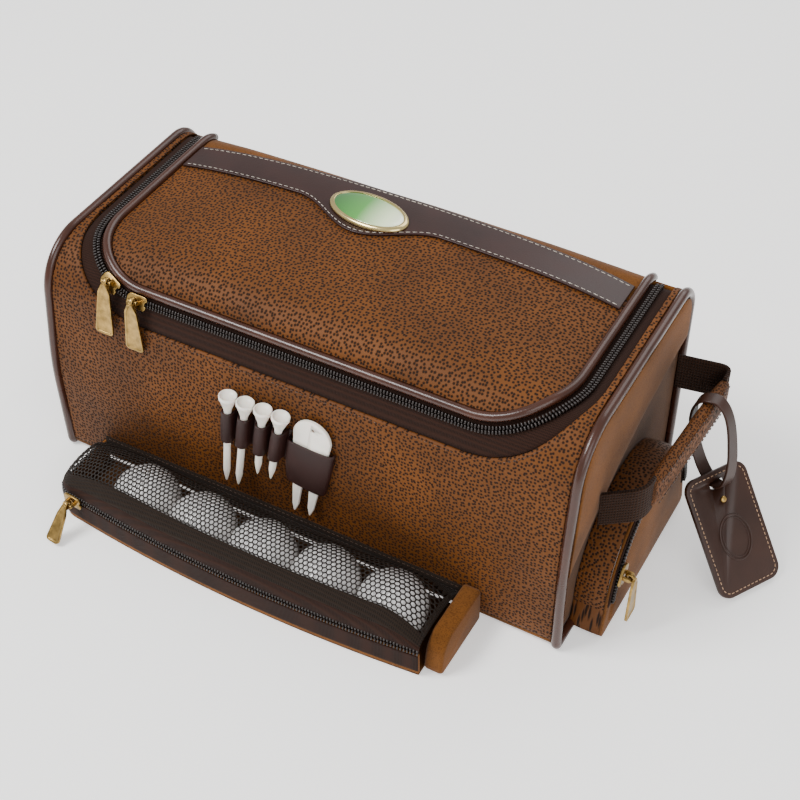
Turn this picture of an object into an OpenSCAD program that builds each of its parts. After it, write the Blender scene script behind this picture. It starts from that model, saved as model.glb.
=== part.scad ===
// Golf trunk bag: a padded duffel with a zipped U-shaped lid, a net pocket for balls along the
// front, loops for tees and a divot tool, a carrying handle at each end, an end pocket and a
// luggage tag. X runs along the bag, Y from front to back, Z up. The origin is on the ground,
// under the middle of the bag body. Millimetres.

/* [Bag body] */
// Length of the body between the two end piping cords
bag_length = 352; // [344:1:430]
// Depth of the body from front face to back face
bag_depth = 166; // [150:1:200]
// Height of the body at its back top edge
bag_height = 156.6; // [150:1:190]
// Thickness of the padded outer panels
panel_thick = 3; // [2:0.5:4]
// Radius of the rounded front top corner
front_corner_r = 34.5; // [28:0.5:42]
// Radius of the rounded back top corner
back_corner_r = 19; // [15:0.5:24]
// Radius of the bottom corners
base_corner_r = 6; // [5:0.5:8]
// Height at which the front face starts to lean back
front_upright = 54; // [45:1:60]
// Radius of the bend between the upright and the leaning part of the front
front_bend_r = 238; // [150:1:300]
// Lean of the upper front face, degrees
front_lean = 8; // [4:1:12]
// Fall of the top towards the front, degrees
top_fall = 1.7; // [0:0.1:4]
// Diameter of the piping cord at the two ends
end_piping_d = 6; // [4:0.5:7]

/* [Lid] */
// Distance from the lid piping to each end of the body
lid_margin = 22; // [21:1:50]
// Reach of the lid piping past the start of the rounded front corner, along the surface
lid_over = 26.2; // [16:0.2:28]
// Corner radius of the lid piping
lid_corner_r = 46; // [34:1:55]
// Rise of the padded lid above the body line
lid_crown = 8; // [3:0.5:12]
// Diameter of the lid piping
lid_piping_d = 5.6; // [4:0.2:7]
// Width of the leather band across the lid
band_w = 28; // [20:1:34]
// Distance of the band from the hinge fold
band_back = 13; // [10:1:30]
// Depth of the rounded dip of the band under the medallion
band_dip = 19; // [0:1:25]
// Place of the medallion along the bag
medallion_x = -15; // [-60:1:60]
// Length of the medallion
medallion_l = 56; // [40:1:64]
// Width of the medallion
medallion_w = 31; // [22:1:36]
// Turn of the medallion on the lid, degrees
medallion_turn = 8; // [-15:1:15]

/* [Lid zip] */
// Distance from the lid piping to the middle of the zip, along the surface
zip_out = 7; // [6.5:0.5:9]
// Width of both rows of teeth together
teeth_w = 4.6; // [4:0.2:6]
// Height of the teeth
teeth_h = 2.6; // [2:0.2:3]
// Width of the lower zip tape at the front
front_tape_w = 14.5; // [8:0.5:16]
// Width of the lower zip tape at the sides
side_tape_w = 5.5; // [4:0.5:7]
// Length of the pull tabs
pull_l = 34; // [28:1:34]
// Width of the pull tabs at the wide end
pull_w = 13; // [9:0.5:15]
// Place of the right slider when the zip is closed
right_slider_x = -109; // [-112:1:-70]
// Turn of the left slider around the lid corner when the zip is closed, degrees
left_slider_turn = 24.4; // [18:0.1:40]

/* [Tees and divot tool] */
// Radius of the tee heads
tee_head_r = 5.6; // [4.5:0.1:6]
// Radius of the tee shafts
tee_shaft_r = 2.2; // [1.8:0.1:2.6]
// Length of the two long tees
long_tee_l = 70; // [60:1:83]
// Length of the two short tees
short_tee_l = 54; // [42:1:60]
// Height of the tee tops above the ground
tee_top_z = 106; // [92:1:106]
// Distance between the tees
tee_pitch = 12.2; // [12:0.1:14]
// Running clearance of a tee in its loop
tee_clear = 0.4; // [0.2:0.1:0.8]
// Width of the divot tool
tool_w = 25; // [20:1:28]
// Length of the divot tool
tool_l = 77; // [65:1:85]
// Thickness of the divot tool
tool_t = 2.4; // [2:0.2:3]
// Place of the divot tool along the bag
tool_x = 18; // [17:0.5:30]
// Height of the top of the divot tool above the ground
tool_top_z = 107; // [95:1:107]

/* [Ball pocket] */
// Diameter of the golf balls
ball_d = 42.67; // [42.67:0.01:43]
// Number of balls in the row
ball_count = 5; // [1:1:5]
// Distance between ball centres
ball_pitch = 43.5; // [43:0.1:48]
// Left end of the pocket, from the middle of the bag
pocket_left = 146; // [130:1:160]
// Right end of the pocket, from the middle of the bag
pocket_right = 128; // [120:1:150]
// Reach of the pocket in front of the bag body
pocket_reach = 60.5; // [58:0.5:70]
// Radius of the bowed pocket front
pocket_bow_r = 1100; // [900:10:3000]
// Thickness of the pocket wall and floor
pocket_wall = 1.8; // [1.2:0.1:2.4]
// Height of the pocket wall, where its zip runs
pocket_zip_z = 18; // [14:0.5:20]
// Width of the leather end panel of the pocket
pocket_end_w = 12; // [8:0.5:16]

/* [End pocket] */
// Radius of the arched zip of the end pocket
arch_r = 58; // [45:1:60]
// Height of the arch centre above the ground
arch_z = 20; // [12:1:21]
// Depth of the end pocket
end_pocket_depth = 19; // [12:0.5:21]

/* [Handles and tag] */
// Width of the handle webbing
webbing_w = 25; // [18:1:28]
// Thickness of the handle webbing
webbing_t = 2.2; // [1.6:0.2:3]
// Height of the padded grip
grip_h = 21; // [16:1:24]
// Thickness of the padded grip
grip_t = 9; // [6:0.5:11]
// Stand-off of the front of the grip from the end of the bag
grip_out = 28; // [24:1:40]
// Width of the luggage tag
tag_w = 45; // [35:1:55]
// Length of the luggage tag
tag_l = 75; // [55:1:85]
// Thickness of the luggage tag
tag_t = 3; // [2:0.5:4]
// Width of the tag strap
tag_strap_w = 8.5; // [6:0.5:11]

/* [Hidden] */

$fn = 40;
gap = 0.3;        // seat clearance between pieces that lie against each other
sew = 0.2;        // clearance between a cord and the panels sewn to it
half_l = bag_length / 2;
half_d = bag_depth / 2;
wrap_x = half_l - end_piping_d / 2 - sew;    // where the wrapped panels end
leather = [0.45, 0.29, 0.17];
suede = [0.55, 0.36, 0.2];
dark = [0.23, 0.15, 0.12];
brass = [0.72, 0.6, 0.38];
ivory = [0.94, 0.91, 0.85];

// ---- Points and solids -------------------------------------------------------------------

// Points along an arc from angle a0 to a1 about c
function arc(c, r, a0, a1, n) =
  [for (i = [0:n]) let (a = a0 + (a1 - a0) * i / n) [c[0] + r * cos(a), c[1] + r * sin(a)]];

// Outline of a flat band that bends along an arc
function arc_band(c, r0, r1, a0, a1, n) = concat(arc(c, r1, a0, a1, n), arc(c, r0, a1, a0, n));

function mix(a, b, t) = a + (b - a) * t;
function unit(v) = v / norm(v);

// Round corners of a path, each cut back by r
function round_path(p, r, n) = concat(
  [p[0]],
  [for (i = [1:len(p) - 2])
    let (a = p[i] + unit(p[i - 1] - p[i]) * r, b = p[i] + unit(p[i + 1] - p[i]) * r)
      for (k = [0:n]) let (t = k / n) mix(mix(a, p[i], t), mix(p[i], b, t), t)],
  [p[len(p) - 1]]);

// Closed solid through rings that all have the same number of points
module loft(rings, closed = false) {
  m = len(rings[0]);
  n = len(rings);
  sides = [for (i = [0:(closed ? n - 1 : n - 2)], j = [0:m - 1])
    let (a = i * m + j, b = i * m + (j + 1) % m,
         c = (i + 1) % n * m + (j + 1) % m, d = (i + 1) % n * m + j)
      each [[a, c, b], [a, d, c]]];
  e = (n - 1) * m;
  // Each end is closed by a strip between the two halves of its ring
  caps = closed ? [] : [for (j = [0:floor((m - 1) / 2) - 1])
    let (a = j, b = j + 1, c = m - 2 - j, d = m - 1 - j)
      each concat([[a, c, d], [e + a, e + d, e + c]], b == c ? [] : [[a, b, c], [e + a, e + c, e + b]])];
  polyhedron(points = [for (ring = rings) each ring], faces = concat(sides, caps), convexity = 10);
}

// Flat strap of width w and thickness t along a path; wide holds the width direction at each point
module strap(path, wide, w, t) {
  last = len(path) - 1;
  loft([for (i = [0:last])
    let (along = unit(path[min(i + 1, last)] - path[max(i - 1, 0)]), thick = unit(cross(along, wide[i])))
      [for (k = [[1, 1], [-1, 1], [-1, -1], [1, -1]])
        path[i] + wide[i] * (k[0] * w / 2) + thick * (k[1] * t / 2)]]);
}

// A side-view outline (Y, Z) drawn out along X
module along_x(x0, x1) translate([x0, 0, 0]) rotate([90, 0, 90]) linear_extrude(x1 - x0) children();

// ---- Side profile of the bag body -----------------------------------------------------------

back_c = [half_d - back_corner_r, bag_height - back_corner_r];
bend_c = [front_bend_r - half_d, front_upright];
// The front corner's centre lies front_corner_r inside the leaning face and the falling top
lean_n = [-cos(front_lean), sin(front_lean)];
top_n = [-sin(top_fall), cos(top_fall)];
lean_d = lean_n * bend_c + front_bend_r - front_corner_r;
top_d = top_n * back_c + back_corner_r - front_corner_r;
corner_det = lean_n[0] * top_n[1] - lean_n[1] * top_n[0];
front_c = [(lean_d * top_n[1] - top_d * lean_n[1]) / corner_det,
           (top_d * lean_n[0] - lean_d * top_n[0]) / corner_det];

// Body outline in the side view, grown outwards by h
function profile(h) = concat(
  arc([half_d - base_corner_r, base_corner_r], base_corner_r + h, -90, 0, 4),
  arc(back_c, back_corner_r + h, 0, 90 + top_fall, 10),
  arc(front_c, front_corner_r + h, 90 + top_fall, 180 - front_lean, 12),
  arc(bend_c, front_bend_r + h, 180 - front_lean, 180, 4),
  arc([base_corner_r - half_d, base_corner_r], base_corner_r + h, 180, 270, 4));

// Lengths along the profile, from the hinge fold forwards and down
hinge_a = 45;     // the fold lies this far round the back top corner
s_back = back_corner_r * (90 + top_fall - hinge_a) * PI / 180;
s_top = s_back + norm(back_c + back_corner_r * top_n - front_c - front_corner_r * top_n);
s_corner = s_top + front_corner_r * (90 - front_lean - top_fall) * PI / 180;
s_lean = s_corner + norm(front_c + front_corner_r * lean_n - bend_c - front_bend_r * lean_n);
s_bend = s_lean + front_bend_r * front_lean * PI / 180;
s_base = s_bend + front_upright - base_corner_r - gap;
lid_half_w = half_l - lid_margin;
lid_reach = s_top + lid_over;

function deg(l, r) = l / r * 180 / PI;
// Angle of the outward normal at length s
function normal_a(s) =
  s < s_back ? hinge_a + deg(s, back_corner_r) :
  s < s_top ? 90 + top_fall :
  s < s_corner ? 90 + top_fall + deg(s - s_top, front_corner_r) :
  s < s_lean ? 180 - front_lean :
  s < s_bend ? 180 - front_lean + deg(s - s_lean, front_bend_r) : 180;
// Point of the side view at length s and height h over the skin
function side_at(s, h) =
  let (n = [cos(normal_a(s)), sin(normal_a(s))], along = [-n[1], n[0]])
    s < s_back ? back_c + (back_corner_r + h) * n :
    s < s_top ? back_c + (back_corner_r + h) * n + (s - s_back) * along :
    s < s_corner ? front_c + (front_corner_r + h) * n :
    s < s_lean ? front_c + (front_corner_r + h) * n + (s - s_corner) * along :
    s < s_bend ? bend_c + (front_bend_r + h) * n :
    bend_c + (front_bend_r + h) * n + (s - s_bend) * along;
function skin(x, s, h) = let (p = side_at(s, h)) [x, p[0], p[1]];
function skin_n(s) = [0, cos(normal_a(s)), sin(normal_a(s))];

// ---- Lid outline ------------------------------------------------------------------------------

zip_start = 9;    // the zip ends this far in front of the fold
side_n = 9;
corner_n = 14;
front_n = 4;
// U-shaped line (x, s) at half width w and reach f, right leg first
function u_line(w, f, start = zip_start) =
  let (rx = lid_corner_r + w - lid_half_w, rs = lid_corner_r + f - lid_reach,
       half = concat(
         [for (i = [0:side_n - 1]) [w, mix(start, f - rs, i / side_n)]],
         [for (p = arc([w - rx, f - rs], 1, 0, 90, corner_n))
           [w - rx + (p[0] - w + rx) * rx, f - rs + (p[1] - f + rs) * rs]],
         [for (i = [1:front_n]) [(w - rx) * (1 - i / front_n), f]]))
    concat(half, [for (i = [len(half) - 2:-1:0]) [-half[i][0], half[i][1]]]);

// Ribbon on the skin between two such lines
module ribbon(a, b, h0, h1)
  loft([for (i = [0:len(a) - 1])
    [skin(a[i][0], a[i][1], h0), skin(b[i][0], b[i][1], h0),
     skin(b[i][0], b[i][1], h1), skin(a[i][0], a[i][1], h1)]]);

// Cord of diameter d on the skin along line b, which lies outside line a
module skin_cord(a, b, d, h, n)
  loft([for (i = [0:len(a) - 1])
    let (mid = skin(b[i][0], b[i][1], h), up = skin_n(b[i][1]),
         raw = mid - skin(a[i][0], a[i][1], h), out = unit(raw - up * (raw * up)))
      [for (k = [0:n - 1]) mid + d / 2 * (out * cos(k * 360 / n) + up * sin(k * 360 / n))]]);

panel_edge = lid_piping_d / 2 + sew;             // the lid panel ends inside its piping
zip_w = lid_half_w + zip_out;
zip_f = lid_reach + zip_out;
tape_end_w = zip_w + teeth_w / 2 + side_tape_w;
tape_end_f = zip_f + teeth_w / 2 + front_tape_w;
tape_h = -1.5;                                   // upper face of the zip tapes
tape_t = 0.9;
teeth_h0 = tape_h + 0.1;

// Half width of the lid panel at length s
function lid_w(s) =
  let (w = lid_half_w - panel_edge, f = lid_reach - panel_edge, r = lid_corner_r - panel_edge)
    s < f - r ? w : w - r + sqrt(max(0, r * r - pow(s - f + r, 2)));
// Rise of the padded lid at x, s
function lid_h(x, s) =
  let (f = lid_reach - panel_edge, u = min(1, abs(x) / lid_w(s)), v = abs(2 * s / f - 1))
    0.3 + 0.7 * min(1, s / 12) + (lid_crown - 1) * (1 - pow(u, 4)) * (1 - pow(min(1, v), 4));

// ---- Body panels ------------------------------------------------------------------------------

// Strip of the side view between heights h0 and h1 over the skin
module skin_strip(h0, h1) difference() {
  polygon(profile(h1));
  polygon(profile(h0));
}

module front_panel() {
  u = u_line(tape_end_w + gap, tape_end_f + gap, 0.4);
  n = len(u);
  turn0 = side_n;
  turn1 = side_n + corner_n;
  turn_m = side_n + corner_n * 0.57;
  // Outer edge: down the end of the bag, then along the base
  function edge(i) =
    i > (n - 1) / 2 ? let (e = edge(n - 1 - i)) [-e[0], e[1]] :
    i < turn0 ? [wrap_x, u[i][1]] :
    i < turn_m ? [wrap_x, mix(u[turn0][1], s_base, (i - turn0) / (turn_m - turn0))] :
    i < turn1 ? [mix(wrap_x, u[turn1][0], (i - turn_m) / (turn1 - turn_m)), s_base] :
    [u[i][0], s_base];
  rows = 16;
  color(leather) loft([for (i = [0:n - 1]) concat(
    [for (k = [0:rows]) let (p = mix(u[i], edge(i), k / rows)) skin(p[0], p[1], 0)],
    [for (k = [rows:-1:0]) let (p = mix(u[i], edge(i), k / rows)) skin(p[0], p[1], -panel_thick)])]);
}

module back_panel() color(suede) along_x(-wrap_x, wrap_x) intersection() {
  skin_strip(-panel_thick, 0);
  polygon(concat([[back_c[0], back_c[1]], [0, back_c[1]], [0, base_corner_r + gap],
    [bag_depth, base_corner_r + gap], [bag_depth, back_c[1]]],
    [back_c + bag_depth * [cos(hinge_a - 1), sin(hinge_a - 1)]]));
}

module base_panel() color(suede) along_x(-wrap_x, wrap_x) intersection() {
  skin_strip(-panel_thick, 0);
  translate([-half_d, 0]) square([bag_depth, base_corner_r]);
}

piping_in = 0.6;   // the end piping cord runs this far inside the body outline
side_edge = end_piping_d / 2 + piping_in + sew;
module end_shape() intersection() {
  polygon(profile(-side_edge));
  translate([-half_d, end_piping_d + sew]) square([bag_depth, bag_height]);
}
module side_panel() color(suede * 0.8) along_x(wrap_x + 0.1, half_l - 1) end_shape();
module right_side_panel() side_panel();
module left_side_panel() mirror([1, 0, 0]) side_panel();

// Upper part of each end, above a bowed seam that falls towards the front
yoke_t = 4.5;
yoke_seam_c = [106, -210];
yoke_seam_r = 328;
module yoke() color(suede) along_x(half_l - 1 + sew, half_l - 1 + sew + yoke_t) difference() {
  end_shape();
  translate(yoke_seam_c) circle(yoke_seam_r, $fn = 240);
}
module right_yoke() yoke();
module left_yoke() mirror([1, 0, 0]) yoke();

module end_piping() color(dark) {
  sides = 10;
  r = end_piping_d / 2;
  outline = [for (p = profile(-piping_in)) [p[0], max(p[1], r)]];
  n = len(outline);
  loft([for (i = [0:n - 1])
    let (c = outline[i], t = unit(outline[(i + 1) % n] - outline[(i + n - 1) % n]), out = [t[1], -t[0]])
      [for (k = [0:sides - 1]) let (a = k * 360 / sides)
        [half_l + r * sin(a), c[0] + out[0] * r * cos(a), c[1] + out[1] * r * cos(a)]]], closed = true);
}
module right_piping() end_piping();
module left_piping() mirror([1, 0, 0]) end_piping();

module body_zip_tape() color(dark)
  ribbon(u_line(zip_w + teeth_w / 2 - 0.4, zip_f + teeth_w / 2 - 0.4),
         u_line(tape_end_w, tape_end_f), tape_h - tape_t, tape_h);
module body_zip_teeth() color(dark * 0.6)
  ribbon(u_line(zip_w + gap / 2, zip_f + gap / 2),
         u_line(zip_w + teeth_w / 2, zip_f + teeth_w / 2), teeth_h0, teeth_h0 + teeth_h);

board_t = 2;
module base_board() color([0.2, 0.2, 0.2])
  translate([-wrap_x + 4, -half_d + base_corner_r + 2, panel_thick + 0.1])
    cube([2 * wrap_x - 8, bag_depth - 2 * base_corner_r - 4, board_t]);

lining_t = 1;
lining_floor = panel_thick + 0.2 + board_t;
module lining() color([0.35, 0.3, 0.25]) {
  in = -panel_thick - gap;
  top = back_c[1] - 2;
  difference() {
    along_x(-wrap_x + 1, wrap_x - 1) intersection() {
      polygon(profile(in));
      union() {
        translate([-half_d, lining_floor]) square([half_d, side_at(tape_end_f, 0)[1] - 8 - lining_floor]);
        translate([0, lining_floor]) square([half_d, top - lining_floor]);
      }
    }
    along_x(-wrap_x + 1 + lining_t, wrap_x - 1 - lining_t) intersection() {
      polygon(profile(in - lining_t));
      translate([-half_d, lining_floor + lining_t]) square([bag_depth, bag_height]);
    }
    // Open top between the front wall and the back wall
    translate([-wrap_x, -half_d, side_at(tape_end_f, 0)[1] - 8])
      cube([2 * wrap_x, bag_depth - back_corner_r, bag_height]);
  }
}

module hinge_tape() color(dark) along_x(-lid_half_w + 16, lid_half_w - 16)
  polygon(arc_band(back_c, back_corner_r - panel_thick - 1.3, back_corner_r - panel_thick - gap, 8,
    hinge_a - 2, 6));

// ---- Lid --------------------------------------------------------------------------------------

lid_s0 = 0.6;     // running gap of the lid in front of the fold
module lid_sheet(s_list, cols, inset, top, bottom)
  loft([for (s = s_list) let (w = lid_w(s + inset) - inset) concat(
    [for (k = [0:cols]) let (x = mix(w, -w, k / cols)) skin(x, s, top(x, s))],
    [for (k = [0:cols]) let (x = mix(-w, w, k / cols)) skin(x, s, bottom)])]);

function lid_rows(end, n) = [for (i = [0:n]) mix(lid_s0, end, sin(90 * i / n))];
module lid_panel() color(leather)
  lid_sheet(lid_rows(lid_reach - panel_edge, 26), 28, 0, function(x, s) lid_h(x, s), -panel_thick);
module lid_lining() color([0.35, 0.3, 0.25])
  lid_sheet(lid_rows(lid_reach - panel_edge - 6, 14), 10, 5, function(x, s) -panel_thick - gap,
            -panel_thick - gap - lining_t);
module lid_piping() color(dark) skin_cord(u_line(lid_half_w - 4, lid_reach - 4, 3),
  u_line(lid_half_w, lid_reach, 3), lid_piping_d, lid_piping_d / 2 + tape_h + sew, 10);
module lid_zip_tape() color(dark)
  ribbon(u_line(lid_half_w - panel_edge + gap, lid_reach - panel_edge + gap),
         u_line(zip_w - teeth_w / 2 + 0.4, zip_f - teeth_w / 2 + 0.4), tape_h - tape_t, tape_h);
module lid_zip_teeth() color(dark * 0.6)
  ribbon(u_line(zip_w - teeth_w / 2, zip_f - teeth_w / 2),
         u_line(zip_w - gap / 2, zip_f - gap / 2), teeth_h0, teeth_h0 + teeth_h);

band_lift = 0.45;
band_t = 1.3;
dip_half = 50;
function band_s0(x) = band_back + 9 * pow(x / lid_half_w, 2);
function band_s1(x) = band_back + band_w + 3 * pow(x / lid_half_w, 2) +
  (abs(x - medallion_x) < dip_half ? band_dip * (1 + cos(180 * (x - medallion_x) / dip_half)) / 2 : 0);
module lid_band() color(dark) {
  end = lid_half_w - panel_edge - 1;
  n = 60;
  rows = 6;
  loft([for (i = [0:n]) let (x = mix(-end, end, i / n)) concat(
    [for (k = [0:rows]) let (s = mix(band_s0(x), band_s1(x), k / rows)) skin(x, s, lid_h(x,
      s) + band_lift + band_t)],
    [for (k = [rows:-1:0]) let (s = mix(band_s0(x), band_s1(x), k / rows)) skin(x, s, lid_h(x,
      s) + band_lift)])]);
}

// The medallion sits in the middle of the widened band
medallion_s = (band_s0(medallion_x) + band_s1(medallion_x)) / 2 + 3;
bezel_t = 2.6;
bezel_w = 2.2;
module on_lid(x, s, h)
  translate(skin(x, s, h))
    rotate([normal_a(s) - 90 - atan((lid_h(x, s + 1) - lid_h(x, s - 1)) / 2), 0, 0]) children();
function oval(l, w, n = 48) = [for (i = [0:n - 1]) [l / 2 * cos(i * 360 / n), w / 2 * sin(i * 360 / n)]];
module medallion_bezel() color(brass)
  on_lid(medallion_x, medallion_s, lid_h(medallion_x, medallion_s) + band_lift + band_t + gap / 2)
    rotate(-medallion_turn) difference() {
      linear_extrude(bezel_t) polygon(oval(medallion_l, medallion_w));
      translate([0, 0, 0.8]) linear_extrude(bezel_t)
        polygon(oval(medallion_l - 2 * bezel_w, medallion_w - 2 * bezel_w));
    }
module medallion_face() color([0.3, 0.5, 0.2])
  on_lid(medallion_x, medallion_s, lid_h(medallion_x, medallion_s) + band_lift + band_t + gap / 2 + 0.9)
    rotate(-medallion_turn)
      loft([for (k = [[1, 0], [1, 1.2], [0.9, 1.9], [0.7, 2.5], [0.4, 2.9], [0.1, 3]])
        [for (p = oval((medallion_l - 2 * bezel_w - 0.4) * k[0],
          (medallion_w - 2 * bezel_w - 0.4) * k[0], 32))
          [p[0], p[1], k[1]]]]);

// ---- Zip sliders and pulls -----------------------------------------------------------------------

plate_h = teeth_h0 + teeth_h + gap;    // sliders ride this far over the skin
slider_l = 14;
slider_w = 8.6;
plate_t = 1.6;
bar_r = 1;
bar_z = 5.2;      // height of the pull's bar over the underside of the slider
eye_r = 3.2;
eye_clear = 0.7;
eye_w = 3.2;
pull_t = 1.6;
eye_in = bar_r + eye_clear + 0.1;

// Slider over teeth that run along X; bar_a turns the bar that carries the pull
module slider(bar_a) color(brass) {
  difference() {
    linear_extrude(plate_t) polygon(concat(
      arc([-slider_l / 2 + 3, slider_w / 2 - 3], 3, 90, 180, 4),
      arc([-slider_l / 2 + 3, 3 - slider_w / 2], 3, 180, 270, 4),
      arc([slider_l / 2 - 2, 2 - slider_w / 2], 2, 270, 360, 4),
      arc([slider_l / 2 - 2, slider_w / 2 - 2], 2, 0, 90, 4)));
    translate([slider_l / 2, 0, -1]) cylinder(r = 1.5, h = 4, $fn = 24);
  }
  rotate([0, 0, bar_a]) {
    for (side = [-1, 1]) translate([side * (eye_w / 2 + 1.1) - 0.7, -1.3, plate_t - 0.01])
      cube([1.4, 2.6, bar_z - plate_t + 1.3]);
    translate([-eye_w / 2 - 0.9, 0, bar_z]) rotate([0, 90, 0]) cylinder(r = bar_r, h = eye_w + 1.8,
      $fn = 24);
  }
}

// Pull hanging from an eye around the X axis, of length l from the eye to its end
module pull(l, w) color(brass) {
  difference() {
    translate([-eye_w / 2, 0, 0]) rotate([0, 90, 0]) cylinder(r = eye_r, h = eye_w, $fn = 32);
    translate([-eye_w, 0, 0]) rotate([0, 90, 0]) cylinder(r = bar_r + eye_clear, h = 2 * eye_w, $fn = 32);
  }
  // The tab hangs from the outer side of the eye
  difference() {
    translate([0, -eye_in, 0]) rotate([90, 0, 0]) linear_extrude(pull_t) polygon(concat(
      [[eye_w / 2, 0], [-eye_w / 2, 0], [-w * 0.33, -6]],
      arc([-w / 2 + 2.5, -l + 2.5], 2.5, 180, 270, 4),
      arc([w / 2 - 2.5, -l + 2.5], 2.5, 270, 360, 4), [[w * 0.33, -6]]));
    // Sunk panel on the front of the tab
    translate([0, -eye_in - pull_t + 0.4, 0]) rotate([90, 0, 0]) linear_extrude(1) polygon([
      [-w * 0.25, -11], [-w * 0.34, -l + 4], [w * 0.34, -l + 4], [w * 0.25, -11]]);
  }
}

// Frame of a slider that runs along the lid zip: on the front at x, or round the left corner by turn
corner_w = zip_w - lid_corner_r - zip_out;
corner_f = zip_f - lid_corner_r - zip_out;
corner_turn_r = lid_corner_r + zip_out;
left_x = -corner_w - corner_turn_r * sin(left_slider_turn);
left_s = corner_f + corner_turn_r * cos(left_slider_turn);
module on_zip(x, s, turn) translate(skin(x, s, plate_h)) rotate([normal_a(s) - 90, 0,
  0]) rotate(-turn) children();
// Pull on that slider, standing off from the front by an angle
module hang_on_zip(x, s, a) translate(skin(x, s, plate_h + bar_z)) rotate([-a, 0, 0]) pull(pull_l, pull_w);

module right_slider() on_zip(right_slider_x, zip_f, 0) slider(0);
module left_slider() on_zip(left_x, left_s, left_slider_turn) slider(left_slider_turn);
module right_pull() hang_on_zip(right_slider_x, zip_f, 3);
module left_pull() hang_on_zip(left_x, left_s, 11);

// ---- Tees and divot tool ---------------------------------------------------------------------------

tee_lean = 3.4;    // the tees and the tool lean back with the front
tee_off = 5;       // shafts stand this far off the front
// Y at height z of a line that leans so and touches the bend of the front
function lean_y(z, lean) = -half_d + front_bend_r * (1 - cos(lean))
  + (z - front_upright - front_bend_r * sin(lean)) * tan(lean);
tee_y = lean_y(tee_top_z, tee_lean) - tee_off;
tees = [[4.5, long_tee_l], [7.5, long_tee_l], [7, short_tee_l], [10, short_tee_l]];
tee_x0 = -39;
function tee_x(i) = tee_x0 + tee_pitch * i;
head_h = 12;
loop_wall = 1.3;
loop_h = 23;
// Frame of tee i, its Z axis along the shaft with the top of the head at 0
module at_tee(i) translate([tee_x(i), tee_y, tee_top_z]) rotate([-tee_lean, tees[i][0], 0]) children();
module tee(i) color(ivory) at_tee(i) {
  l = tees[i][1];
  rotate_extrude($fn = 36) polygon([
    [0, -l], [0.5, -l + 0.8], [tee_shaft_r, -l + 9], [tee_shaft_r, -head_h], [tee_shaft_r + 1, -head_h + 4],
    [tee_head_r - 1, -3.2], [tee_head_r, -2.2], [tee_head_r, 0], [tee_head_r - 0.8, 0],
      [tee_head_r - 2, -1.6], [0, -2.4]]);
}
module tee_1() tee(0);
module tee_2() tee(1);
module tee_3() tee(2);
module tee_4() tee(3);

module tee_loops() color(dark) for (i = [0:3]) difference() {
  bore = tee_shaft_r + tee_clear;
  at_tee(i) translate([0, 0, -head_h - 0.5 - loop_h]) union() {
    cylinder(r = bore + loop_wall, h = loop_h, $fn = 36);
    translate([-bore - loop_wall, 0, 0]) cube([2 * (bore + loop_wall), 12, loop_h]);
  }
  at_tee(i) translate([0, 0, -head_h - 2 - loop_h]) cylinder(r = bore, h = loop_h + 4, $fn = 36);
  along_x(-half_l, half_l) polygon(profile(0.05));
}

tool_turn = 7.5;
tool_lean = 3.4;
tool_y = lean_y(tool_top_z, tool_lean) - tool_t / 2 - gap;
tool_tip = tool_w / 2 * 0.42;
// Frame of the divot tool, lying against the front, its top at 0
module at_tool() translate([tool_x, tool_y, tool_top_z]) rotate([-tool_lean, tool_turn, 0]) children();
function tool_half(z) = mix(tool_w / 2, tool_w / 2 - 3.5, min(1, max(0,
  (-z - tool_w / 2) / (tool_l * 0.5))));
module divot_tool() color(ivory) at_tool() difference() {
  translate([0, tool_t / 2, 0]) rotate([90, 0, 0]) linear_extrude(tool_t) difference() {
    polygon(concat(
      arc([0, -tool_w / 2], tool_w / 2, 0, 180, 16),
      [[-tool_half(-tool_l * 0.6), -tool_l * 0.6], [-tool_tip - 2, -tool_l + 6], [-tool_tip, -tool_l],
       [-tool_tip + 2, -tool_l + 6], [-2.2, -tool_l * 0.62], [2.2, -tool_l * 0.62],
       [tool_tip - 2, -tool_l + 8], [tool_tip, -tool_l + 2],
       [tool_tip + 2, -tool_l + 8], [tool_half(-tool_l * 0.6), -tool_l * 0.6]]));
    translate([0, -6]) circle(1.8, $fn = 24);
  }
}
sleeve_l = 32;
sleeve_top = -20;
sleeve_wall = 1.4;
module tool_sleeve() color(dark) difference() {
  w0 = tool_half(sleeve_top) + sleeve_wall + 1.2;
  at_tool() translate([0, 8, 0]) rotate([90, 0,
    0]) linear_extrude(8 + tool_t / 2 + gap + sleeve_wall) polygon([
    [-w0 - 1.5, sleeve_top], [-w0 + 1, sleeve_top - sleeve_l],
    [w0 - 1, sleeve_top - sleeve_l], [w0 + 1.5, sleeve_top + 2]]);
  at_tool() translate([0, tool_t / 2 + gap, 0]) rotate([90, 0,
    0]) linear_extrude(tool_t + 2 * gap) polygon([
    [-tool_w / 2 - 0.8, sleeve_top + 4], [-tool_w / 2 - 0.5, sleeve_top - 2],
      [-tool_half(-tool_l * 0.6) - 0.5, sleeve_top - sleeve_l - 2],
    [tool_half(-tool_l * 0.6) + 0.5, sleeve_top - sleeve_l - 2], [tool_w / 2 + 0.5, sleeve_top - 2],
      [tool_w / 2 + 0.8, sleeve_top + 4]]);
  along_x(-half_l, half_l) polygon(profile(0.05));
}

// ---- Ball pocket --------------------------------------------------------------------------------------

pocket_top = pocket_zip_z;
bow_c = [0, pocket_bow_r - half_d - pocket_reach];
pocket_corner_r = 15;
function bow_y(x, inset) = bow_c[1] - sqrt(pow(pocket_bow_r - inset, 2) - x * x);
net_right = pocket_right - pocket_end_w;
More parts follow.
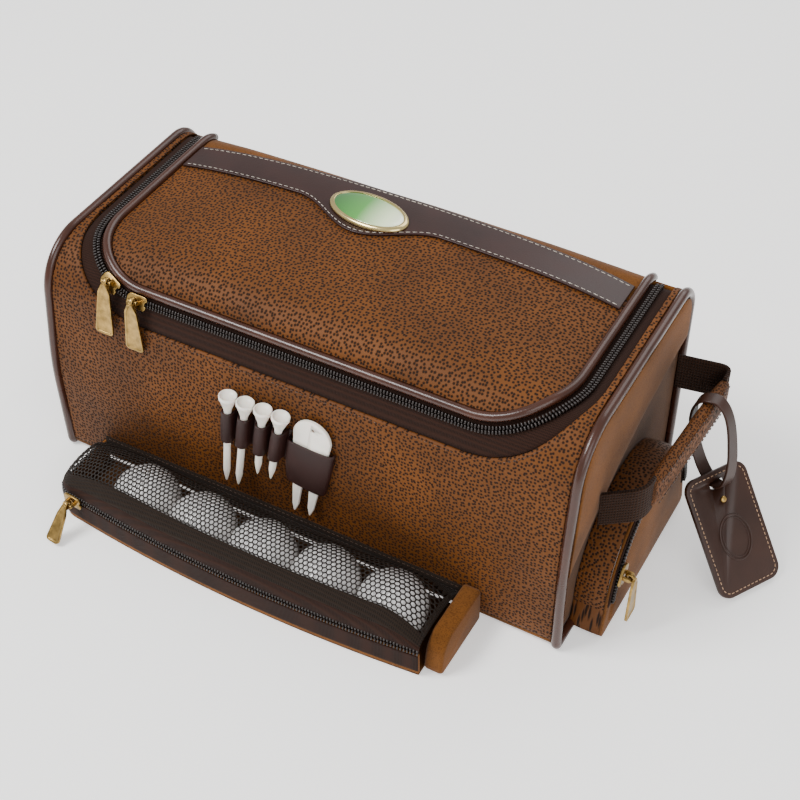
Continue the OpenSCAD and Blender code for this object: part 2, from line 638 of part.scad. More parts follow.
// Front outline of the pocket from left to right (X, Y), moved inwards by inset
function pocket_line(inset, x1) =
  let (r = pocket_corner_r - inset, x0 = -pocket_left + inset,
    y0 = bow_y(-pocket_left + pocket_corner_r, inset))
    concat([[x0, -half_d - gap]], arc([x0 + r, y0 + r], r, 180, 264, 8),
           [for (i = [1:18]) let (x = mix(x0 + r, x1, i / 18)) [x, bow_y(x, inset)]]);
function closed_line(inset, x1) = concat(pocket_line(inset, x1), [[x1, -half_d - gap]]);
function wall_band(a, b) = concat(a, [for (i = [len(b) - 1:-1:0]) b[i]]);

module pocket_base() color(suede) {
  linear_extrude(pocket_wall) polygon(closed_line(0, net_right));
  linear_extrude(pocket_top) polygon(wall_band(pocket_line(0, net_right), pocket_line(pocket_wall,
    net_right)));
}
module pocket_end_panel() color(suede) {
  r = 8;
  y1 = bow_y(pocket_right, 0) + 3;
  top = pocket_top + 8;
  difference() {
    translate([net_right + gap, 0, 0]) rotate([90, 0,
      90]) linear_extrude(pocket_end_w - gap) polygon(concat(
      [[-half_d - gap, 0], [-half_d - gap, top]], arc([y1 + 16, top - 14], 14, 90, 170, 6), [[y1, 4],
        [y1 + 3, 0]]));
    translate([net_right - 1, -half_d - 50, pocket_wall]) cube([pocket_end_w - pocket_wall, 44,
      pocket_top - pocket_wall]);
  }
}
binding_z = 17;
binding_h = 6;
module pocket_binding() color(dark)
  translate([-pocket_left + 2, -half_d - 1.8, binding_z - 1]) cube([pocket_left + net_right - 2,
    1.8 - gap / 3, binding_h]);
tape_proud = 0.8;
module pocket_zip_tape() color(dark) translate([0, 0, pocket_top - 6])
  linear_extrude(5.6) polygon(wall_band(pocket_line(-tape_proud - 0.1, net_right), pocket_line(-0.1,
    net_right)));
teeth_d = 2.6;
module pocket_zip_teeth() color(dark * 0.6) translate([0, 0, pocket_top + 0.1])
  linear_extrude(1.7) polygon(wall_band(pocket_line(-tape_proud, net_right),
    pocket_line(teeth_d - tape_proud, net_right)));

ball_r = ball_d / 2;
ball_z = pocket_wall + 0.1 + ball_r;
function ball_y(x) = bow_y(x, pocket_wall) + ball_r + 0.6;
module golf_balls() color("white") for (i = [0:ball_count - 1])
  let (x = (i - 2) * ball_pitch) translate([x, ball_y(x), ball_z]) sphere(ball_r, $fn = 60);

// Net flap in the side view over the middle ball: straight from its hinge line to a round over the ball
net_hinge = [-half_d - 3, binding_z + 0.5];
net_r = ball_r + 0.9;
net_t = 0.9;
net_c = [ball_y(0), ball_z];
net_far = norm(net_c - net_hinge);
net_dir = atan2(ball_z - net_hinge[1], net_hinge[0] - net_c[0]);
net_touch = net_dir + asin(net_r / net_far);       // slope of the straight part
net_straight = sqrt(net_far * net_far - net_r * net_r);
net_turn = 97;                                     // the round ends this far past the top
net_bend = 0.35;                                   // share of the flap before the round
function net_full(t, h) =
  t < net_bend ? net_hinge + t / net_bend * net_straight * [-cos(net_touch), sin(net_touch)]
    + h * [sin(net_touch), cos(net_touch)] :
  let (a = 90 + mix(net_touch - 90, net_turn, (t - net_bend) / (1 - net_bend)))
    net_c + (net_r + h) * [cos(a), sin(a)];
// The flap sinks towards its ends and follows the bowed front and the rounded left corner
function net_sink(x) =
  let (d = max(0, abs(x) - 2 * ball_pitch), e = (x < 0 ? pocket_left - 2
    : net_right - gap) - 2 * ball_pitch)
    mix(0.3, 1, 1 - pow(min(1, d / e), 2));
net_end_z = pocket_top + 2.2;
corner_x = pocket_corner_r - pocket_left;
function net_at(x, t, h) = let (p = net_full(t, h), q = net_full(1, 0), base = mix(net_hinge[1],
  net_end_z, t),
    bow = bow_y(max(x, corner_x), 0) - bow_y(0, 0),
    reach = bow_y(corner_x, 0) - net_hinge[0],
    cut = pocket_corner_r - sqrt(max(0, pow(pocket_corner_r, 2) - pow(max(0, corner_x - x), 2))))
  [x, net_hinge[0] + (p[0] - net_hinge[0] + bow * min(1, t / net_bend)) * (1 + cut / reach),
   base + (p[1] - mix(net_hinge[1], q[1], t)) * net_sink(x)];
net_xs = concat([for (i = [0:7]) -pocket_left + 2 + i * 2.2],
  [for (i = [0:34]) mix(-pocket_left + 20, net_right - gap, i / 34)]);
module net_patch(t0, t1, n, h0, h1) loft([for (x = net_xs) concat(
  [for (k = [0:n]) net_at(x, mix(t0, t1, k / n), h1)], [for (k = [n:-1:0]) net_at(x, mix(t0, t1,
    k / n), h0)])]);
module net_cover() color([0.15, 0.1, 0.08]) net_patch(0, 0.74, 14, 0, net_t);
module net_band() color(dark) net_patch(0.742, 0.86, 3, 0, net_t + 0.4);
module net_zip_tape() color(suede * 0.7) net_patch(0.862, 0.94, 3, 0, net_t);
module net_zip_teeth() color(dark * 0.6) net_patch(0.942, 1, 2, 0, net_t + 0.8);

// Slider of the pocket zip, near the left end, with a short pull that rests on the ground
net_slider_a = asin(-(pocket_left - 18) / pocket_bow_r);
slider_out = 1.2 + gap;
small_pull = 25;
module on_bow(a, out, z) translate([bow_c[0], bow_c[1], z]) rotate([0, 0, a]) translate([0,
  -pocket_bow_r - out, 0]) children();
module net_slider() on_bow(net_slider_a, slider_out, pocket_top + 2) rotate([90, 0, 0]) slider(0);
module net_pull() on_bow(net_slider_a, slider_out + bar_z, pocket_top + 2) rotate([-38, 0,
  0]) pull(small_pull, pull_w * 0.8);

// ---- End pocket ------------------------------------------------------------------------------------------

end_x0 = half_l - 1 + gap;
end_x1 = end_x0 + end_pocket_depth;
arch_c = [0, arch_z];
function end_outline(r) = concat(arc(arch_c, r, 0, 180, 24), [[-r - 4, 3], [-r - 2, 0.2], [r + 2, 0.2],
  [r + 4, 3]]);
module end_pocket_wall() color(leather) difference() {
  along_x(end_x0, end_x1) polygon(end_outline(arch_r + 2));
  along_x(end_x0 - 1, end_x1 + 1) polygon([for (p = end_outline(arch_r)) [p[0], max(p[1], 2.2)]]);
  // The end piping runs behind the foot of the pocket
  along_x(end_x0 - 1, half_l + end_piping_d / 2 + sew)
    translate([-half_d, -1]) square([bag_depth, end_piping_d + sew + 1]);
}
face_x = end_x1 + gap / 2;
module end_pocket_face() color(suede) loft([
  for (k = [[1, 0], [1, 1.6], [0.86, 1.6], [0.8, 3.2], [0.55, 4.4], [0.2, 5]])
    [for (p = end_outline(arch_r + 2)) [face_x + k[1], p[0] * k[0], mix(34, p[1], k[0])]]]);
module end_zip_tape() color(dark) along_x(face_x + 1.6 + gap / 2, face_x + 2.4)
  polygon(arc_band(arch_c, arch_r - 4, arch_r + 1.5, 4, 176, 30));
module end_zip_teeth() color(dark * 0.6) along_x(face_x + 2.5, face_x + 4.2)
  polygon(arc_band(arch_c, arch_r - 3.6, arch_r - 0.6, 6, 174, 30));
end_slider_a = 153;
teeth_mid = arch_r - 2.1;
module on_arch(a, out) translate([face_x + 4.2 + gap + out, 0, arch_z]) rotate([a, 0, 0]) translate([0,
  teeth_mid, 0]) children();
module end_slider() on_arch(end_slider_a, 0) rotate([90, 0, 90]) rotate(90) slider(90 - end_slider_a);
module end_pull() translate([face_x + 4.2 + gap + bar_z, teeth_mid * cos(end_slider_a),
  arch_z + teeth_mid * sin(end_slider_a)])
  rotate([0, 0, 90]) pull(pull_l - 2, pull_w);

// ---- Handles and luggage tag -------------------------------------------------------------------------------

yoke_face = half_l - 1 + sew + yoke_t;
anchor_x = yoke_face + 2 * gap;
front_anchor = [anchor_x, -48, 88];
rear_anchor = [anchor_x, 62, 104];
front_turn = [half_l + grip_out, -45, 101];
rear_turn = [half_l + grip_out + 6, 74, 98];
grip_dir = unit(rear_turn - front_turn);
grip_start = front_turn + grip_dir * 9;
grip_end = rear_turn - grip_dir * 9;
webbing_path = round_path([front_anchor, front_turn, rear_turn, rear_anchor], 8, 6);
webbing_n = len(webbing_path) / 2;
module webbing() color(dark * 0.8) {
  front = concat([for (i = [0:webbing_n - 1]) webbing_path[i]], [grip_start - grip_dir * gap]);
  rear = concat([grip_end + grip_dir * gap], [for (i = [webbing_n:2 * webbing_n - 1]) webbing_path[i]]);
  strap(front, [for (p = front) [0, 0, 1]], webbing_w, webbing_t);
  strap(rear, [for (p = rear) [0, 0, 1]], webbing_w, webbing_t);
}
module right_webbing() webbing();
module left_webbing() mirror([1, 0, 0]) webbing();
function pad(h, t, n) = [for (i = [0:n - 1]) let (a = i * 360 / n, c = cos(a), s = sin(a))
  [t / 2 * sign(c) * pow(abs(c), 0.7), h / 2 * sign(s) * pow(abs(s), 0.7)]];
module grip() color(leather) loft([for (k = [[0, 0.8], [0.02, 0.95], [0.06, 1], [0.5, 1], [0.94, 1],
  [0.98, 0.95], [1, 0.8]])
  let (c = mix(grip_start, grip_end, k[0]))
    [for (p = pad(grip_h * k[1], grip_t * k[1], 20)) [c[0] + p[0], c[1], c[2] + p[1]]]]);
module right_grip() grip();
module left_grip() mirror([1, 0, 0]) grip();

// The tag hangs from a strap round the grip and leans with its lower edge on the ground
tag_edge = unit([0.508, 0.861, 0]);
tag_down = [0.516, -0.417, -0.749];
tag_n = cross(tag_edge, tag_down);
tag_lean_down = unit(cross(tag_n, tag_edge));
slot_in = 8;
slot_at = [half_l + 46, 36, (tag_l - slot_in) * -tag_lean_down[2] + tag_t / 2 + 0.6];
module tag_strap() {
  grip_mid = grip_start + grip_dir * (41 - grip_start[1]) / grip_dir[1];
  top = grip_mid + [0, 0, grip_h / 2 + 2.1];
  centre = (top + slot_at) / 2;
  half = norm(top - slot_at) / 2;
  up = unit(top - slot_at);
  function lateral(v) = unit(v - up * (v * up));
  a_top = lateral([1, 0, 0]);
  a_low = lateral(-unit(cross(tag_edge, tag_lean_down)));
  n = 32;
  ring_w = 13;
  rings = [for (i = [0:n - 1]) let (f = i * 360 / n, c = cos(f), s = sin(f), side = unit(mix(a_low,
    a_top, (1 + c) / 2)))
    centre + side * ring_w * sign(s) * pow(abs(s), 0.8) + up * half * sign(c) * pow(abs(c), 0.8)];
  wide = [for (i = [0:n - 1]) let (c = cos(i * 360 / n)) unit(mix(tag_edge, [0, 1, 0], (1 + c) / 2))];
  color(dark) loft([for (i = [0:n - 1]) let (along = unit(rings[(i + 1) % n] - rings[(i + n - 1) % n]),
    thick = unit(cross(along, wide[i])))
    [for (k = [[1, 1], [-1, 1], [-1, -1], [1,
      -1]]) rings[i] + wide[i] * (k[0] * tag_strap_w / 2) + thick * (k[1] * 0.8)]],
    closed = true);
}
// Frame of the tag: X along its short side, -Y down its length, Z out of its face; origin at the slot
module at_tag() multmatrix([
  [tag_edge[0], -tag_lean_down[0], -tag_n[0], slot_at[0]],
  [tag_edge[1], -tag_lean_down[1], -tag_n[1], slot_at[1]],
  [tag_edge[2], -tag_lean_down[2], -tag_n[2], slot_at[2]]]) children();
module tag_plate() color(leather * 0.8) at_tag() translate([0, 0,
  -tag_t / 2]) linear_extrude(tag_t) difference() {
  r = 8;
  polygon(concat(arc([tag_w / 2 - r, slot_in - r], r, 0, 90, 5), arc([r - tag_w / 2, slot_in - r], r,
    90, 180, 5),
    arc([r - tag_w / 2, slot_in - tag_l + r], r, 180, 270, 5), arc([tag_w / 2 - r,
      slot_in - tag_l + r], r, 270, 360, 5)));
  square([tag_strap_w + 3, 4.4], center = true);
}
module tag_stud() color(brass) at_tag()
  translate([0, -slot_in - 2, tag_t / 2 + gap / 2]) cylinder(r1 = 2, r2 = 1.6, h = 1.2, $fn = 24);

front_panel();
back_panel();
base_panel();
right_side_panel();
left_side_panel();
right_yoke();
left_yoke();
right_piping();
left_piping();
body_zip_tape();
body_zip_teeth();
base_board();
lining();
hinge_tape();
tee_loops();
tool_sleeve();
pocket_base();
pocket_end_panel();
pocket_binding();
pocket_zip_tape();
pocket_zip_teeth();
golf_balls();
end_pocket_wall();
end_pocket_face();
end_zip_tape();
end_zip_teeth();
lid_panel();
lid_piping();
lid_band();
lid_zip_tape();
lid_zip_teeth();
lid_lining();
medallion_bezel();
medallion_face();
left_slider();
left_pull();
right_slider();
right_pull();
tee_1();
tee_2();
tee_3();
tee_4();
divot_tool();
net_cover();
net_band();
net_zip_tape();
net_zip_teeth();
net_slider();
net_pull();
end_slider();
end_pull();
right_webbing();
right_grip();
left_webbing();
left_grip();
tag_strap();
tag_plate();
tag_stud();
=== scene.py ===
"""Golf trunk bag: the finished looks of every piece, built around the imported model.

Lengths inside the shape code are millimetres; meshes are metres. X runs along the bag, Y from
front to back and Z up, with the ground at 0.
"""

import math

import bmesh
import bpy
import numpy as np
from bpy.props import FloatProperty, FloatVectorProperty, IntProperty, PointerProperty
from mathutils import Matrix, Quaternion, Vector


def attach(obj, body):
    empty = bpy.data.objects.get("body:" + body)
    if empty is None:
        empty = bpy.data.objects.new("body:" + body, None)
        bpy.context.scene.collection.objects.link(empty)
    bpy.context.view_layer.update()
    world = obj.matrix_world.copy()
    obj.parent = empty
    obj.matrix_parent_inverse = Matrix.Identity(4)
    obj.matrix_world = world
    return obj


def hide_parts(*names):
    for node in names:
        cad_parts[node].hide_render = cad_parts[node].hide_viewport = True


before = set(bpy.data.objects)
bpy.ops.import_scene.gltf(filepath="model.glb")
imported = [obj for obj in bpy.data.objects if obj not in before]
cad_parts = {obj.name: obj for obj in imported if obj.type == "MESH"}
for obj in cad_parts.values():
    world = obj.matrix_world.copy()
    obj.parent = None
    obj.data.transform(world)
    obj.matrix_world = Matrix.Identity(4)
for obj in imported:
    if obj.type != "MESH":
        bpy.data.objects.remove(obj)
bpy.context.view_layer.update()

bl_info = {
    "name": "Golf Trunk Bag",
    "version": (1, 0, 0),
    "blender": (4, 5, 0),
    "location": "View3D > Sidebar > Golf Bag",
    "description": "Builds a golf trunk bag with its zips, tees, ball pocket, handles and tag",
    "category": "Object",
}

MM = 0.001


# ---- Sizes and colours a user would change -------------------------------------------------


def linear(code):
    """An sRGB hex colour as linear numbers."""
    parts = [int(code[i : i + 2], 16) / 255 for i in (1, 3, 5)]
    return tuple(p / 12.92 if p <= 0.04045 else ((p + 0.055) / 1.055) ** 2.4 for p in parts)


def size(name, text, value):
    """A length property; value is in millimetres."""
    return FloatProperty(name=name, description=text, default=value * MM, unit="LENGTH",
                         precision=5)


def turn(name, text, value):
    """An angle property; value is in degrees."""
    return FloatProperty(name=name, description=text, default=math.radians(value), unit="ROTATION")


def paint(name, text, code):
    """A colour property from an sRGB hex value."""
    return FloatVectorProperty(
        name=name, description=text, default=linear(code), size=3, subtype="COLOR", min=0, max=1
    )


class GolfBagForm(bpy.types.PropertyGroup):
    """Sizes of the bag body and its lid"""

    length: size("Length", "Between the two end piping cords", 352)
    depth: size("Depth", "From the front face to the back face", 166)
    height: size("Height", "At the back top edge", 156.6)
    panel: size("Panel", "Thickness of the padded panels", 3)
    front_round: size("Front Round", "Radius of the front top corner", 34.5)
    back_round: size("Back Round", "Radius of the back top corner", 19)
    base_round: size("Base Round", "Radius of the bottom corners", 6)
    upright: size("Upright", "Height at which the front starts to lean", 54)
    bend: size("Bend", "Radius of the bend in the front", 238)
    lean: turn("Lean", "Lean of the upper front", 8)
    fall: turn("Fall", "Fall of the top towards the front", 1.7)
    end_cord: size("End Cord", "Diameter of the end piping", 6)
    lid_margin: size("Lid Margin", "From the lid piping to each end", 22)
    lid_over: size("Lid Reach", "Reach of the lid past the front corner", 26.2)
    lid_round: size("Lid Corner", "Corner radius of the lid piping", 46)
    lid_crown: size("Lid Crown", "Rise of the padded lid", 8)
    lid_cord: size("Lid Cord", "Diameter of the lid piping", 5.6)


class GolfBagDetail(bpy.types.PropertyGroup):
    """Sizes of stitches, zips, net and dimples"""

    stitch: size("Stitch", "Length of a stitch", 2.9)
    stitch_step: size("Stitch Step", "From one stitch to the next", 4)
    thread: size("Thread", "Thickness of the sewing thread", 0.7)
    tooth_step: size("Tooth Step", "From one coil of a zip to the next", 2)
    net_cell: size("Net Cell", "Width of a cell of the net", 3.1)
    net_strand: size("Net Strand", "Width of a strand of the net", 0.75)
    dimple: size("Dimple", "Width of a dimple of a ball", 3.7)
    dimple_deep: size("Dimple Depth", "Depth of a dimple of a ball", 0.28)
    dimples: IntProperty(name="Dimples", description="Dimples on a ball", default=332, min=12,
                         max=500)
    fullness: size("Fullness", "How far the soft panels swell and dip", 0.7)


class GolfBagColour(bpy.types.PropertyGroup):
    """Colours of the finishes"""

    leather: paint("Leather", "Pebbled leather between its pits", "#5e3510")
    # The pit colour is near-black painted shade inside the pits of the pebbled leather
    leather_pit_shade: paint("Leather Pits", "Pits of the pebbled leather", "#1d1008")
    suede: paint("Suede", "Ends, back, base and pocket", "#643c14")
    band: paint("Band", "Smooth leather of the band, loops and sleeve", "#2b1511")
    cord: paint("Piping", "Glossy piping cord", "#3a1e13")
    tape: paint("Zip Tape", "Woven zip tape", "#25130b")
    coil: paint("Zip Coil", "Zip coils", "#1c120e")
    tag: paint("Tag Leather", "Smooth leather of the tag", "#331c12")
    web: paint("Webbing", "Ribbed handle webbing", "#28160b")
    net: paint("Net", "Knitted net", "#1a120c")
    lining: paint("Lining", "Lining cloth", "#5a4c40")
    thread: paint("Thread", "White sewing thread", "#e6dccd")
    tan_thread: paint("Tan Thread", "Thread of the tag", "#c9a17c")
    brass: paint("Brass", "Antique brass", "#a3854d")
    ivory: paint("Ivory", "Tees and divot tool", "#f3ece0")
    ball: paint("Ball", "Golf balls", "#f1efee")
    # The two enamel colours are painted light: the shaded side and the pale lit side of the dome
    enamel_shaded_side: paint("Enamel Dark", "Dark side of the medallion", "#1f5a22")
    enamel_lit_side: paint("Enamel Light", "Light side of the medallion", "#dfeec4")


# ---- Where the surfaces run ----------------------------------------------------------------


def unit(v):
    v = np.asarray(v, float)
    return v / np.linalg.norm(v)


def mix(a, b, t):
    return a + (b - a) * t


def run_along(points):
    """Distance of each point from the first, measured along the line."""
    steps = [np.linalg.norm(b - a) for a, b in zip(points, points[1:])]
    return np.concatenate([[0], np.cumsum(steps)])


def ring(c, r, a0, a1, n):
    """n + 1 points on an arc about c, angles in degrees."""
    turns = [math.radians(mix(a0, a1, i / n)) for i in range(n + 1)]
    return [(c[0] + r * math.cos(a), c[1] + r * math.sin(a)) for a in turns]


class Form:
    """The bag's surface: x along it, s from the hinge fold forwards and down, h over the skin."""

    hinge_at = 45

    def __init__(self, sizes):
        def mm(name):
            return getattr(sizes, name) / MM

        self.half_l, self.half_d, self.height = mm("length") / 2, mm("depth") / 2, mm("height")
        self.panel, self.front_r, self.back_r = mm("panel"), mm("front_round"), mm("back_round")
        self.base_r, self.upright, self.bend_r = mm("base_round"), mm("upright"), mm("bend")
        self.lean, self.fall = math.degrees(sizes.lean), math.degrees(sizes.fall)
        self.end_cord, self.lid_cord = mm("end_cord"), mm("lid_cord")
        self.lid_crown = mm("lid_crown")
        self.lid_r = mm("lid_round")
        self.wrap = self.half_l - self.end_cord / 2 - 0.2
        self.back_c = np.array([self.half_d - self.back_r, self.height - self.back_r])
        self.bend_c = np.array([self.bend_r - self.half_d, self.upright])
        lean, fall = sizes.lean, sizes.fall
        out = np.array([[-math.cos(lean), math.sin(lean)], [-math.sin(fall), math.cos(fall)]])
        reach = [out[0] @ self.bend_c + self.bend_r - self.front_r]
        reach.append(out[1] @ self.back_c + self.back_r - self.front_r)
        self.front_c = np.linalg.solve(out, reach)
        deg = math.pi / 180
        self.s_back = self.back_r * (90 + self.fall - self.hinge_at) * deg
        self.s_top = self.s_back + np.linalg.norm(
            self.back_c + self.back_r * out[1] - self.front_c - self.front_r * out[1]
        )
        self.s_corner = self.s_top + self.front_r * (90 - self.lean - self.fall) * deg
        self.s_lean = self.s_corner + np.linalg.norm(
            self.front_c + self.front_r * out[0] - self.bend_c - self.bend_r * out[0]
        )
        self.s_bend = self.s_lean + self.bend_r * self.lean * deg
        self.s_base = self.s_bend + self.upright - self.base_r - 0.3
        self.lid_w0 = self.half_l - mm("lid_margin")
        self.lid_f0 = self.s_top + mm("lid_over")
        self.edge = self.lid_cord / 2 + 0.2
        self.zip_w, self.zip_f = self.lid_w0 + 7, self.lid_f0 + 7
        self.tape_w, self.tape_f = self.zip_w + 7.8, self.zip_f + 16.8

    def angle(self, s):
        """Direction of the outward normal at s, degrees."""
        if s < self.s_back:
            return self.hinge_at + math.degrees(s / self.back_r)
        if s < self.s_top:
            return 90 + self.fall
        if s < self.s_corner:
            return 90 + self.fall + math.degrees((s - self.s_top) / self.front_r)
        if s < self.s_lean:
            return 180 - self.lean
        return min(180, 180 - self.lean + math.degrees((s - self.s_lean) / self.bend_r))

    def normal(self, s):
        a = math.radians(self.angle(s))
        return np.array([0, math.cos(a), math.sin(a)])

    def at(self, x, s, h=0.0):
        """The point at x, s and height h over the skin."""
        n = self.normal(s)[1:]
        along = np.array([-n[1], n[0]])
        if s < self.s_back:
            p = self.back_c + (self.back_r + h) * n
        elif s < self.s_top:
            p = self.back_c + (self.back_r + h) * n + (s - self.s_back) * along
        elif s < self.s_corner:
            p = self.front_c + (self.front_r + h) * n
        elif s < self.s_lean:
            p = self.front_c + (self.front_r + h) * n + (s - self.s_corner) * along
        elif s < self.s_bend:
            p = self.bend_c + (self.bend_r + h) * n
        else:
            p = self.bend_c + (self.bend_r + h) * n + (s - self.s_bend) * along
        return np.array([x, p[0], p[1]])

    def profile(self, h, fine=1):
        """Body outline in the side view, grown outwards by h."""
        d, r = self.half_d, self.base_r
        return (
            ring((d - r, r), r + h, -90, 0, 4 * fine)
            + ring(self.back_c, self.back_r + h, 0, 90 + self.fall, 10 * fine)
            + ring(self.front_c, self.front_r + h, 90 + self.fall, 180 - self.lean, 12 * fine)
            + ring(self.bend_c, self.bend_r + h, 180 - self.lean, 180, 8 * fine)
            + ring((r - d, r), r + h, 180, 270, 4 * fine)
        )

    def front_y(self, z, h=0.0):
        """Y of the front face at height z."""
        points = sorted((p[1], p[0]) for p in self.profile(h, 2) if p[0] < -20)
        return float(np.interp(z, [p[0] for p in points], [p[1] for p in points]))

    def lean_y(self, z, lean):
        """Y at height z of a line that leans so and touches the bend of the front."""
        a = math.radians(lean)
        foot = z - self.upright - self.bend_r * math.sin(a)
        return -self.half_d + self.bend_r * (1 - math.cos(a)) + foot * math.tan(a)

    def u_line(self, w, f, start=9.0, fine=2):
        """U-shaped line (x, s) of half width w that reaches f, right leg first."""
        rx, rs = self.lid_r + w - self.lid_w0, self.lid_r + f - self.lid_f0
        legs, bends, fronts = 12 * fine, 14 * fine, 8 * fine
        half = [(w, mix(start, f - rs, i / legs)) for i in range(legs)]
        half += [
            (w - rx + rx * math.cos(a), f - rs + rs * math.sin(a))
            for a in (math.pi / 2 * i / bends for i in range(bends + 1))
        ]
        half += [((w - rx) * (1 - i / fronts), f) for i in range(1, fronts + 1)]
        return half + [(-x, s) for x, s in reversed(half[:-1])]

    def lid_w(self, s):
        """Half width of the lid panel at s."""
        w, f, r = self.lid_w0 - self.edge, self.lid_f0 - self.edge, self.lid_r - self.edge
        return w if s < f - r else w - r + math.sqrt(max(0.0, r * r - (s - f + r) ** 2))

    def lid_h(self, x, s):
        """Rise of the padded lid at x, s."""
        f = self.lid_f0 - self.edge
        u, v = min(1, abs(x) / self.lid_w(s)), min(1, abs(2 * s / f - 1))
        return 0.3 + 0.7 * min(1, s / 12) + (self.lid_crown - 1) * (1 - u**4) * (1 - v**4)


def ripple(x, s):
    """Soft, slow waves of a padded panel, from -1 to 1."""
    return (
        math.sin(x / 19 + 1.3 * math.sin(s / 27)) * math.sin(s / 15 + 0.8)
        + 0.6 * math.sin(x / 9.5 + s / 13)
        + 0.4 * math.sin(s / 6.3 - x / 17)
    ) / 2


# ---- Meshes --------------------------------------------------------------------------------


def new_piece(name, points, faces, uvs=None, smooth=True):
    """An object from points in millimetres; uvs is one (u, v) in metres for each point."""
    mesh = bpy.data.meshes.new(name)
    mesh.from_pydata([tuple(np.asarray(p, float) * MM) for p in points], [], faces)
    mesh.update()
    if uvs is not None:
        layer = mesh.uv_layers.new(name="Surface")
        where = np.array([uvs[loop.vertex_index] for loop in mesh.loops], float)
        layer.data.foreach_set("uv", where.ravel())
    mesh.polygons.foreach_set("use_smooth", [smooth] * len(mesh.polygons))
    obj = bpy.data.objects.new(name, mesh)
    bpy.context.scene.collection.objects.link(obj)
    return obj


def outward(obj):
    """Merges doubles and turns all faces of a closed mesh outwards."""
    bm = bmesh.new()
    bm.from_mesh(obj.data)
    bmesh.ops.remove_doubles(bm, verts=bm.verts, dist=1e-7)
    bmesh.ops.recalc_face_normals(bm, faces=bm.faces)
    bm.to_mesh(obj.data)
    bm.free()
    return obj


def grid_faces(rows, cols, wrap_rows=False, wrap_cols=False):
    """Quads of a grid whose points are numbered row by row."""
    return [
        (
            i * cols + j,
            i * cols + (j + 1) % cols,
            (i + 1) % rows * cols + (j + 1) % cols,
            (i + 1) % rows * cols + j,
        )
        for i in range(rows if wrap_rows else rows - 1)
        for j in range(cols if wrap_cols else cols - 1)
    ]


def cloth(name, grid, thick, uv, side=-1.0, flip=False, rim=0.0):
    """A sheet or panel from rows of points, given its thickness on one side and soft edges."""
    rows, cols = len(grid), len(grid[0])
    faces = grid_faces(rows, cols)
    if flip:
        faces = [f[::-1] for f in faces]
    obj = new_piece(
        name,
        [p for row in grid for p in row],
        faces,
        [(uv(i, j)[0] * MM, uv(i, j)[1] * MM) for i in range(rows) for j in range(cols)],
    )
    solid = obj.modifiers.new("Thickness", "SOLIDIFY")
    solid.thickness, solid.offset, solid.use_even_offset = thick * MM, side, True
    if rim:
        soft = obj.modifiers.new("Soft Edges", "BEVEL")
        soft.width, soft.segments = rim * MM, 2
        soft.limit_method, soft.angle_limit = "ANGLE", math.radians(50)
    return obj


def slab(name, top, bottom, uv):
    """A closed panel between two grids of points."""
    rows, cols = len(top), len(top[0])
    n = rows * cols
    faces = grid_faces(rows, cols)
    faces += [tuple(n + k for k in f[::-1]) for f in grid_faces(rows, cols)]
    border = (
        [j for j in range(cols)]
        + [i * cols + cols - 1 for i in range(1, rows)]
        + [(rows - 1) * cols + j for j in range(cols - 2, -1, -1)]
        + [i * cols for i in range(rows - 2, 0, -1)]
    )
    for a, b in zip(border, border[1:] + border[:1]):
        faces.append((b, a, n + a, n + b))
    points = [p for row in top for p in row] + [p for row in bottom for p in row]
    uvs = [(uv(i, j)[0] * MM, uv(i, j)[1] * MM) for i in range(rows) for j in range(cols)]
    return outward(new_piece(name, points, faces, uvs + uvs))


def tube(name, path, radius, ups, sides=16, closed=False):
    """A round cord along a path; ups holds a direction across the cord at each point."""
    path = [np.asarray(p, float) for p in path]
    n, points, uvs, run = len(path), [], [], 0.0
    for i, p in enumerate(path):
        after = path[(i + 1) % n] if closed else path[min(i + 1, n - 1)]
        before = path[i - 1] if closed or i else path[0]
        along = unit(after - before)
        up = unit(ups[i] - along * (np.asarray(ups[i]) @ along))
        across = np.cross(along, up)
        if i:
            run += np.linalg.norm(p - path[i - 1])
        for k in range(sides):
            a = 2 * math.pi * k / sides
            points.append(p + radius * (math.cos(a) * up + math.sin(a) * across))
            uvs.append((a * radius * MM, run * MM))
    faces = grid_faces(n, sides, closed, True)
    if not closed:
        faces += [tuple(range(sides - 1, -1, -1)),
                  tuple((n - 1) * sides + k for k in range(sides))]
    return outward(new_piece(name, points, faces, uvs))


def march(path, normals, step, start=0.0, end=0.0):
    """Frames (origin, along, up) at an even step along a path."""
    path, normals = np.asarray(path, float), np.asarray(normals, float)
    lengths = np.concatenate([[0], np.cumsum(np.linalg.norm(np.diff(path, axis=0), axis=1))])
    total = lengths[-1] - start - end
    count = max(1, int(total / step))
    out = []
    for i in range(count):
        at = start + total * (i + 0.5) / count
        p = np.array([np.interp(at, lengths, path[:, k]) for k in range(3)])
        q = np.array([np.interp(at + 0.5, lengths, path[:, k]) for k in range(3)])
        r = np.array([np.interp(at - 0.5, lengths, path[:, k]) for k in range(3)])
        up = np.array([np.interp(at, lengths, normals[:, k]) for k in range(3)])
        along = unit(q - r)
        out.append((p, along, unit(up - along * (up @ along))))
    return out


def repeat(name, template, frames):
    """One mesh with a copy of the template at each frame; the template is then removed."""
    shape = np.array([v.co for v in template.data.vertices]) / MM
    faces = [tuple(p.vertices) for p in template.data.polygons]
    points, all_faces = [], []
    for i, (origin, along, up) in enumerate(frames):
        axes = np.array([along, np.cross(up, along), up])
        points.append(np.asarray(origin) + shape @ axes)
        all_faces += [tuple(k + i * len(shape) for k in f) for f in faces]
    bpy.data.objects.remove(template)
    return new_piece(name, np.concatenate(points), all_faces)


def clear():
    """Object mode with nothing selected, before an operator adds a primitive."""
    if bpy.context.mode != "OBJECT":
        bpy.ops.object.mode_set(mode="OBJECT")
    bpy.ops.object.select_all(action="DESELECT")


